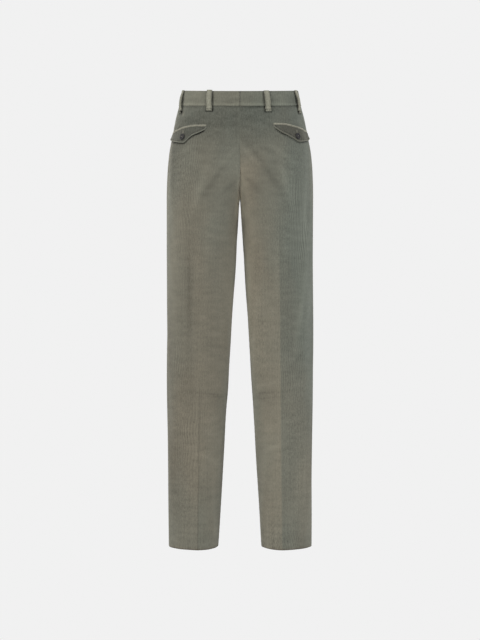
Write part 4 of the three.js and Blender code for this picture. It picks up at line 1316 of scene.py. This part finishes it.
# %% Make one turned button
BUTTON_RADIUS, BUTTON_THICK = 7.5, 3.2
HOLE_RADIUS, HOLE_CIRCLE = 0.9, 1.75
BUTTON_PROFILE = [
    (0.0, 0.0), (0.62, 0.0), (0.86, 0.1), (0.96, 0.28), (1.0, 0.5), (0.99, 0.7), (0.95, 0.87),
    (0.88, 0.98), (0.80, 1.0), (0.72, 0.94), (0.64, 0.8), (0.54, 0.66), (0.40, 0.6), (0.0, 0.58),
]


def turned_button(name):
    made = bmesh.new()
    ring = [made.verts.new((r * BUTTON_RADIUS * MM, 0, h * BUTTON_THICK * MM)) for r, h in BUTTON_PROFILE]
    edges = [made.edges.new(pair) for pair in zip(ring, ring[1:])]
    bmesh.ops.spin(made, geom=ring + edges, cent=(0, 0, 0), axis=(0, 0, 1), angle=2 * math.pi, steps=56,
                   use_merge=True)
    bmesh.ops.remove_doubles(made, verts=made.verts, dist=1e-6)
    bmesh.ops.recalc_face_normals(made, faces=made.faces)
    mesh = bpy.data.meshes.new(name)
    made.to_mesh(mesh)
    made.free()
    return mesh


def drill_bits():
    made = bmesh.new()
    for k in range(4):
        angle = (k + 0.5) * math.pi / 2
        place = bmesh.ops.create_cone(made, cap_ends=True, segments=16, radius1=HOLE_RADIUS * MM,
                                      radius2=HOLE_RADIUS * MM, depth=4 * BUTTON_THICK * MM)
        shift = (math.cos(angle) * HOLE_CIRCLE * MM, math.sin(angle) * HOLE_CIRCLE * MM, 0)
        bmesh.ops.translate(made, verts=place["verts"], vec=shift)
    mesh = bpy.data.meshes.new("drill_bits")
    made.to_mesh(mesh)
    made.free()
    return mesh


def drilled(mesh):
    """The mesh with the four holes cut through it."""
    disc = bpy.data.objects.new("disc", mesh)
    bits = bpy.data.objects.new("bits", drill_bits())
    for part in (disc, bits):
        bpy.context.collection.objects.link(part)
    cut = disc.modifiers.new("holes", "BOOLEAN")
    cut.operation, cut.object, cut.solver = "DIFFERENCE", bits, "EXACT"
    shaped = bpy.data.meshes.new_from_object(disc.evaluated_get(bpy.context.evaluated_depsgraph_get()))
    for part in (disc, bits):
        bpy.data.objects.remove(part)
    shaped.polygons.foreach_set("use_smooth", np.ones(len(shaped.polygons), dtype=bool))
    shaped.set_sharp_from_angle(angle=math.radians(38))
    shaped.materials.clear()
    shaped.materials.append(HORN)
    return shaped


BUTTON = drilled(turned_button("button_blank"))
print("button faces:", len(BUTTON.polygons))


# %% Set the buttons on the cloth
def axes_at(place):
    """Where a button sits: its centre, and the directions across, down and out of the cloth."""
    centre, out, below = place(0, 0, 0), place(0, 0, 1), place(0, -1, 0)
    lift = (out - centre) / np.linalg.norm(out - centre)
    across = np.cross(below - centre, lift)
    across = across / np.linalg.norm(across)
    return centre, across, np.cross(lift, across), lift


def button(name, node, place, twist=0.3):
    centre, across, along, lift = axes_at(place)
    mesh = BUTTON.copy()
    points = np.empty(len(mesh.vertices) * 3)
    mesh.vertices.foreach_get("co", points)
    points = points.reshape(-1, 3)
    c, s = math.cos(twist), math.sin(twist)
    spun = points @ np.array([[c, s, 0], [-s, c, 0], [0, 0, 1]])
    moved = spun @ np.array([across, along, lift]) + centre * MM
    mesh.vertices.foreach_set("co", moved.ravel())
    mesh.update()
    new_piece(name, mesh, node)
    ties = []
    for k in range(4):
        angle = (k + 0.5) * math.pi / 2 + twist
        ties.append(centre + HOLE_CIRCLE * (math.cos(angle) * across + math.sin(angle) * along))
    high = lift * BUTTON_THICK * 0.62
    rows = [(np.array([ties[a] + high, ties[b] + high]), np.array([lift, lift])) for a, b in ((0, 2), (1, 3))]
    stems = [(np.array([t + high, t - lift * 0.2]), np.array([across, across])) for t in ties]
    ties_over = stitches(rows, length=3.2, gap=0.1, radius=0.42)
    ties_down = stitches(stems, length=2.6, gap=0.1, radius=0.38)
    thread_mesh = mesh_of(f"{name}_thread", *joined_up([ties_over, ties_down]), PALE_THREAD)
    new_piece(f"{name}_thread", thread_mesh)


BUTTON_ROUND, BUTTON_BELOW, BUTTON_SEAT = 142.5, 20.0, 0.5
for side, hand in HANDS:
    button(f"flap_button_{hand}", f"pocket_button_{hand}",
           lambda a, d, more, s=side: flap_point(s, BUTTON_ROUND + s * a, BUTTON_BELOW - d,
                                                 FLAP_WALL + BUTTON_SEAT + more))


# %% Bound buttonholes
SLIT = 0.25


def buttonhole(name, place, length, slot, wide=1.5):
    """A slit bound with close stitches. place(a, d, more) is a point across, along and off."""
    lift = place(0, 0, 1) - place(0, 0, 0)
    paths = []
    for sign in (-1, 1):
        for d in np.arange(-length / 2 + wide, length / 2 - wide, 0.62):
            paths.append([(sign * SLIT, d), (sign * wide, d)])
        for turn in np.linspace(0, math.pi, 9):
            paths.append([(r * math.cos(turn), sign * (length / 2 - wide + r * math.sin(turn)))
                          for r in (SLIT, wide)])
    rows = [(np.array([place(*end, 0.1) for end in path]), np.array([lift, lift])) for path in paths]
    sew(name, rows, slot, PALE_THREAD, length=wide, gap=0.1, radius=0.36)


for side, hand in HANDS:
    buttonhole(f"flap_buttonhole_{hand}",
               lambda a, d, more, s=side: flap_point(s, BUTTON_ROUND + s * a, BUTTON_BELOW - 7 - d,
                                                     FLAP_WALL - 0.1 + more),
               17.0, "pocket_corduroy")

# %% [markdown]
# ## Slanted side pockets
# The front pockets open along a slanting line in front of the side seam. From outside only the
# turned and stitched edge of the mouth shows, a flat roll of cloth that runs down from the
# waistband to the side seam.

# %% Make the pocket mouths
UNDER_BAND = 1.0
MOUTH = dict(top_ahead=40.0, foot_ahead=7.0, foot=-212.0, width=5.0, wall=1.5)
MOUTH_LONG, MOUTH_STITCH = 175.0, 3.3
MOUTH_ROWS = np.linspace(0, 1, 70)
MOUTH_ACROSS = np.array([0, 0.25, 0.6, 1.1, 1.8, 2.6, 3.4, 4.0, 4.5, 4.8, 5.0])


def on_mouth(side, share, across, off):
    level = PANEL_TOP - UNDER_BAND + (MOUTH["foot"] - PANEL_TOP) * share
    ahead = MOUTH["top_ahead"] + (MOUTH["foot_ahead"] - MOUTH["top_ahead"]) * share + across
    z, distance = settled(level, side_seam(level) + ahead)
    return cloth(side, z, distance, LAY_GAP + off)


mouth_rows = []
for side, hand in HANDS:
    share, across = MOUTH_ROWS[:, None], MOUTH_ACROSS[None, :]
    to_edge = np.minimum(across, MOUTH["width"] - across)
    wall = MOUTH["wall"] - rolled(to_edge, 1.2, 0.9) - groove(across - MOUTH_STITCH, 0.6, 0.25)
    face = on_mouth(side, share, across, wall)
    # The mouth strip is painted a little lighter, with a painted shadow line at its edge and a darker line of
    # painted shade along its stitching.
    sheet(f"pocket_mouth_{hand}", face, on_mouth(side, share, across, 0.0),
          flat(side * across, -MOUTH_LONG * share), "pocket_corduroy", [CORDUROY], f"side_pocket_{hand}",
          tone=0.10 + shaded(across, (0, 1.1, -0.46), (MOUTH_STITCH, 0.7, -0.16)))
    line = np.linspace(0.01, 0.985, 90)
    mouth_rows.append(with_lift(
        lambda t, more, s=side: on_mouth(s, t, MOUTH_STITCH, MOUTH["wall"] - 0.3 + more), line))
    for at, reach_in in ((0.03, 6.5), (0.97, 5.5)):
        tack = np.linspace(-0.8, reach_in, 12)
        mouth_rows.append(with_lift(lambda t, more, s=side, a=at: on_mouth(s, a, t, 0.9 + more), tack))
sew("pocket_mouth_stitches", mouth_rows, "pocket_corduroy", THREAD)

# %% [markdown]
# ## Fly, waist tab and zip
# The fly lies under a doubled strip, whose stitching runs down and then curves to the centre in
# the shape of a J. Above it the band ends in a tab, which laps over and buttons. Behind the fly
# is the zip: two tapes with a row of small metal teeth between them, closed by a slider at the
# top. It only shows from inside, so its teeth are simple blocks.

# %% Points across the centre front
PLACKET = dict(width=38.0, foot=-208.0, curve=44.0, tip=0.17, wall=1.3, seam=5.0)
TAB = dict(left=10.0, right=40.0, margin=1.5, wall=2.2, button=26.0)


def on_front(across, level, off):
    """A point at a distance from the centre front, positive towards the wearer's left."""
    across, level, off = spread(across, level, off)
    z, distance = settled(level, whole_round(level) - np.abs(across))
    point = cloth(1, z, distance, off)
    point[..., 0] = np.where(across < 0, -1, 1) * point[..., 0]
    return point


def placket_width(level):
    into = np.clip((PLACKET["foot"] + PLACKET["curve"] - level) / PLACKET["curve"], 0, 1)
    return PLACKET["width"] * np.maximum(PLACKET["tip"], np.sqrt(1 - into**2))


print("placket at its top:", round(float(placket_width(-60.0)), 1), "mm wide")

# %% Make the placket and sew its J
PLACKET_TOP = PANEL_TOP - UNDER_BAND
level = joined([PLACKET_TOP, PLACKET_TOP - 0.6], evenly(PLACKET_TOP - 1.4, -160, 2.4),
               evenly(-160, PLACKET["foot"], 1.2))[:, None]
share = joined([0, 0.01, 0.025], np.linspace(0.05, 0.9, 22), [0.94, 0.965, 0.985, 1.0])[None, :]
wide = placket_width(level)
across = wide * share
to_edge = np.minimum(np.minimum(across, wide - across), level - PLACKET["foot"])
to_seam = wide - across - PLACKET["seam"]
wall = PLACKET["wall"] - rolled(to_edge, 1.4, 0.8) - groove(to_seam, 0.8, 0.22)
to_free_edge = np.minimum(wide - across, level - PLACKET["foot"])
# Painted shade along the placket's free edge and along its row of stitches.
tone = shaded(to_free_edge, (0, 1.2, -0.42)) + shaded(to_seam, (0, 1.2, -0.24))
face = on_front(across, level, LAY_GAP + wall)
made = sheet("placket", face, on_front(across, level, LAY_GAP), flat(across, level), "corduroy", [CORDUROY],
             "fly_placket", tone=tone)
cut_to(made, PLACKET["width"] * MM, (PLACKET_TOP - PLACKET["foot"]) * MM, face, "hung", "front_panel_left")

turn = np.linspace(0, math.pi / 2, 60)[1:-3]
turn_from, reach = PLACKET["foot"] + PLACKET["curve"], PLACKET["width"] - PLACKET["seam"]
straight = np.linspace(PANEL_TOP - 3, turn_from, 80)
j_level = np.r_[straight, turn_from - (PLACKET["curve"] - PLACKET["seam"]) * np.sin(turn)]
j_across = np.r_[0 * straight + reach, reach * np.cos(turn)]
sew("placket_stitches", [with_lift(lambda a, z, more: on_front(a, z, LAY_GAP + PLACKET["wall"] - 0.25 + more),
                                   j_across, j_level)], "corduroy", THREAD)

# %% Make the tab, its button and its buttonhole
TAB_END = 9.0
level = -joined(TAB["margin"] + np.array([0, 0.4, 1.0, 1.8]), evenly(TAB["margin"] + 1.8, 33.7, 1.6),
                BAND_HEIGHT - TAB["margin"] - np.array([1.8, 1.0, 0.4, 0]))[:, None]
share = joined([0, 0.008, 0.02], np.linspace(0.04, 0.96, 34), [0.98, 0.992, 1.0])[None, :]
middle = (-level - BAND_HEIGHT / 2) / (BAND_HEIGHT / 2 - TAB["margin"])
right = TAB["right"] - TAB_END * (1 - np.sqrt(np.clip(1 - 0.98 * middle**2, 0, 1)))
across = TAB["left"] - (TAB["left"] + right) * share
to_edge = np.minimum(np.minimum(TAB["left"] - across, across + right),
                     np.minimum(-level - TAB["margin"], BAND_HEIGHT - TAB["margin"] + level))
wall = TAB["wall"] - rolled(to_edge, 1.8, 1.4) - groove(to_edge - 3.0, 0.9, 0.3)


def on_tab(across, level, more):
    return on_front(across, level, BAND_PROUD + LAY_GAP + more)


face = on_tab(across, level, wall)
# The tab is painted a little lighter, with painted shade along its edge and along its stitching.
made = sheet("waist_tab_strip", face, on_tab(across, level, 0.0), flat(across, level), "waistband_corduroy",
             [LIT_BAND_CORDUROY], "waist_tab", tone=0.06 + shaded(to_edge, (0, 1.1, -0.36), (3.0, 0.9, -0.14)))
cut_to(made, (TAB["left"] + TAB["right"]) * MM, (BAND_HEIGHT - 2 * TAB["margin"]) * MM, face, "hung",
       "band_left", "band_right")
MID_BAND = -BAND_HEIGHT / 2
button("waist_button_disc", "waist_button",
       lambda a, d, more: on_tab(-TAB["button"] - a, MID_BAND + d, TAB["wall"] + BUTTON_SEAT + more))
buttonhole("waist_buttonhole",
           lambda a, d, more: on_tab(-TAB["button"] + 5 - d, MID_BAND + a, TAB["wall"] - 0.1 + more),
           19.0, "waistband_corduroy")

# %% Make the zip: tape, teeth and slider
ZIP = dict(half=13.0, below=4.0, foot=-170.0, wall=1.0, gap=1.1)
CLOTH_WALL = 2.0


def on_zip(across, level, off):
    point = on_front(across, level, off - CLOTH_WALL - ZIP["gap"])
    point[..., 0] = np.where(np.abs(across) < 0.05, 0, point[..., 0])
    return point


level = evenly(PANEL_TOP - ZIP["below"], ZIP["foot"], 4.0)[:, None]
across = np.linspace(-ZIP["half"], ZIP["half"], 15)[None, :]
face = on_zip(across, level, 0.0)
made = sheet("zip_tape", face, on_zip(across, level, -ZIP["wall"]), flat(across, level), "zip_tape", [TAPE],
             "fly_zip")
cut_to(made, 2 * ZIP["half"] * MM, (PANEL_TOP - ZIP["below"] - ZIP["foot"]) * MM, face, "hung",
       "front_panel_left")

SIDEWAYS = np.array([1.0, 0, 0])
BLOCK_FACES = [(0, 2, 3, 1), (4, 5, 7, 6), (0, 1, 5, 4), (2, 6, 7, 3), (1, 3, 7, 5), (0, 4, 6, 2)]


def zip_block(across, level, off, half):
    """A small block on the tape. half is its size each way, sideways, down and out."""
    centre, under = (on_zip(across, z, -ZIP["wall"] - off) for z in (level, level - 1.0))
    down = (under - centre) / np.linalg.norm(under - centre)
    axes = (SIDEWAYS, down, np.cross(down, SIDEWAYS))
    corners = [(x, y, z) for z in (-1, 1) for y in (-1, 1) for x in (-1, 1)]
    return [centre + sum(a * h * c for a, h, c in zip(axes, half, corner)) for corner in corners], BLOCK_FACES


TOOTH_HALF = (1.7, 0.45, 0.6)
tooth_levels = np.arange(PANEL_TOP - ZIP["below"] - 14, ZIP["foot"] + 6, -1.5)
teeth = [zip_block(0.9 if k % 2 else -0.9, tooth, 0.7, TOOTH_HALF) for k, tooth in enumerate(tooth_levels)]
SLIDER = table(
    "below wide tall deep",
    (0.0, 4.6, 0.8, 1.5), (2.0, 4.9, 1.4, 1.9), (5.0, 3.9, 1.8, 1.9), (8.0, 2.9, 1.4, 1.7),
    (4.0, 1.2, 3.6, 2.6),
)
plates = [zip_block(0.0, tooth_levels[0] + 6.0 - plate["below"], 1.1,
                    (plate["wide"], plate["tall"], plate["deep"] / 2)) for plate in SLIDER]
for name, blocks in (("zip_teeth", teeth), ("zip_slider", plates)):
    new_piece(name, mesh_of(name, *joined_up(blocks), BRASS, faceted=True))
print("teeth:", len(teeth))

# %% [markdown]
# ## What every sheet was cut to
# What is given is the cut of what shows: a panel's widest row by its length, and the area of
# its own outline. Welts and pocket mouths are too narrow to count, so they are named as pieces
# of the sheet they are sewn to.

SEWN_ON = {f"flap_{hand}": [f"welt_{hand}"] for _, hand in HANDS}
SEWN_ON |= {f"front_panel_{hand}": [f"pocket_mouth_{hand}"] for _, hand in HANDS}
for name, cut in CUTS.items():
    print(name, "flat", [round(v, 3) for v in cut["flat"]], "area", round(cut["area"], 4))

# %% [markdown]
# ## Stage, light and camera
# Clothes are shown on a plain pale ground in wide soft light, so that the nap does the talking.
# A large lamp on the wearer's left gives the legs their round form, a cooler, weaker one fills
# the other side, and the pale surroundings do the rest. The floor glows a little by itself, so
# that it meets the background without an edge.

# %% Floor and surroundings
PALE = 0.879


def seen_or_cast(owner, seen, cast):
    """A strength that is one value where the ground is seen and another where it lights things."""
    to_camera = node(owner, "ShaderNodeLightPath", output="Is Camera Ray")
    return node(owner, "ShaderNodeMapRange", inputs={"Value": to_camera, "To Min": cast, "To Max": seen})


world = bpy.data.worlds.new("pale_room")
world.use_nodes = True
ground = world.node_tree.nodes["Background"]
ground.inputs["Color"].default_value = (1, 1, 1, 1)
world.node_tree.links.new(seen_or_cast(world, PALE, 0.80), ground.inputs["Strength"])
bpy.context.scene.world = world

FLOOR_REACH, FLOOR_HEIGHT, FLOOR_SIDES = 60.0, -1.45, 64
floor_material = bpy.data.materials.new("pale_floor")
floor_material.use_nodes = True
tree = floor_material.node_tree
tree.nodes.clear()
strength = seen_or_cast(floor_material, PALE, 0.65)
glow = node(floor_material, "ShaderNodeEmission", inputs={"Strength": strength})
tree.links.new(glow, tree.nodes.new("ShaderNodeOutputMaterial").inputs["Surface"])
floor_mesh = bpy.data.meshes.new("floor")
turn = np.linspace(0, 2 * math.pi, FLOOR_SIDES, endpoint=False)
rim = [(FLOOR_REACH * math.cos(t), FLOOR_REACH * math.sin(t), FLOOR_HEIGHT) for t in turn]
floor_mesh.from_pydata(rim, [], [tuple(range(FLOOR_SIDES))])
floor_mesh.materials.append(floor_material)
floor = bpy.data.objects.new("floor", floor_mesh)
bpy.context.collection.objects.link(floor)
print("floor at", FLOOR_HEIGHT)


# %% Lamps
def softbox(name, place, target, size, power, color):
    data = bpy.data.lights.new(name, "AREA")
    data.shape, data.size, data.energy, data.color = "DISK", size, power, color
    lamp = bpy.data.objects.new(name, data)
    lamp.location = place
    x, y, z = np.array(target) - np.array(place)
    lamp.rotation_euler = (math.atan2(math.hypot(x, y), -z), 0, math.atan2(y, x) - math.pi / 2)
    lamp.visible_camera = False
    bpy.context.collection.objects.link(lamp)


MIDDLE = (0, 0, -0.55)
softbox("left_softbox", (3.2, 2.4, 0.9), MIDDLE, 2.4, 80, (1.0, 0.965, 0.91))
softbox("right_softbox", (-3.0, 2.0, 0.2), MIDDLE, 2.4, 26, (0.90, 0.97, 1.0))
softbox("front_softbox", (0.9, -3.4, 1.2), MIDDLE, 2.4, 55, (1.0, 0.98, 0.95))

# %% Camera, level with the thighs, behind the wearer
camera_data = bpy.data.cameras.new("camera")
camera_data.lens, camera_data.sensor_width = 105.525, 36
camera = bpy.data.objects.new("camera", camera_data)
camera.location = (0, 4.5, -0.5492)
camera.rotation_euler = (math.radians(90), 0, math.radians(180))
bpy.context.collection.objects.link(camera)
bpy.context.scene.camera = camera
bpy.context.scene.view_settings.view_transform = "Standard"
print("camera", tuple(round(v, 2) for v in camera.location))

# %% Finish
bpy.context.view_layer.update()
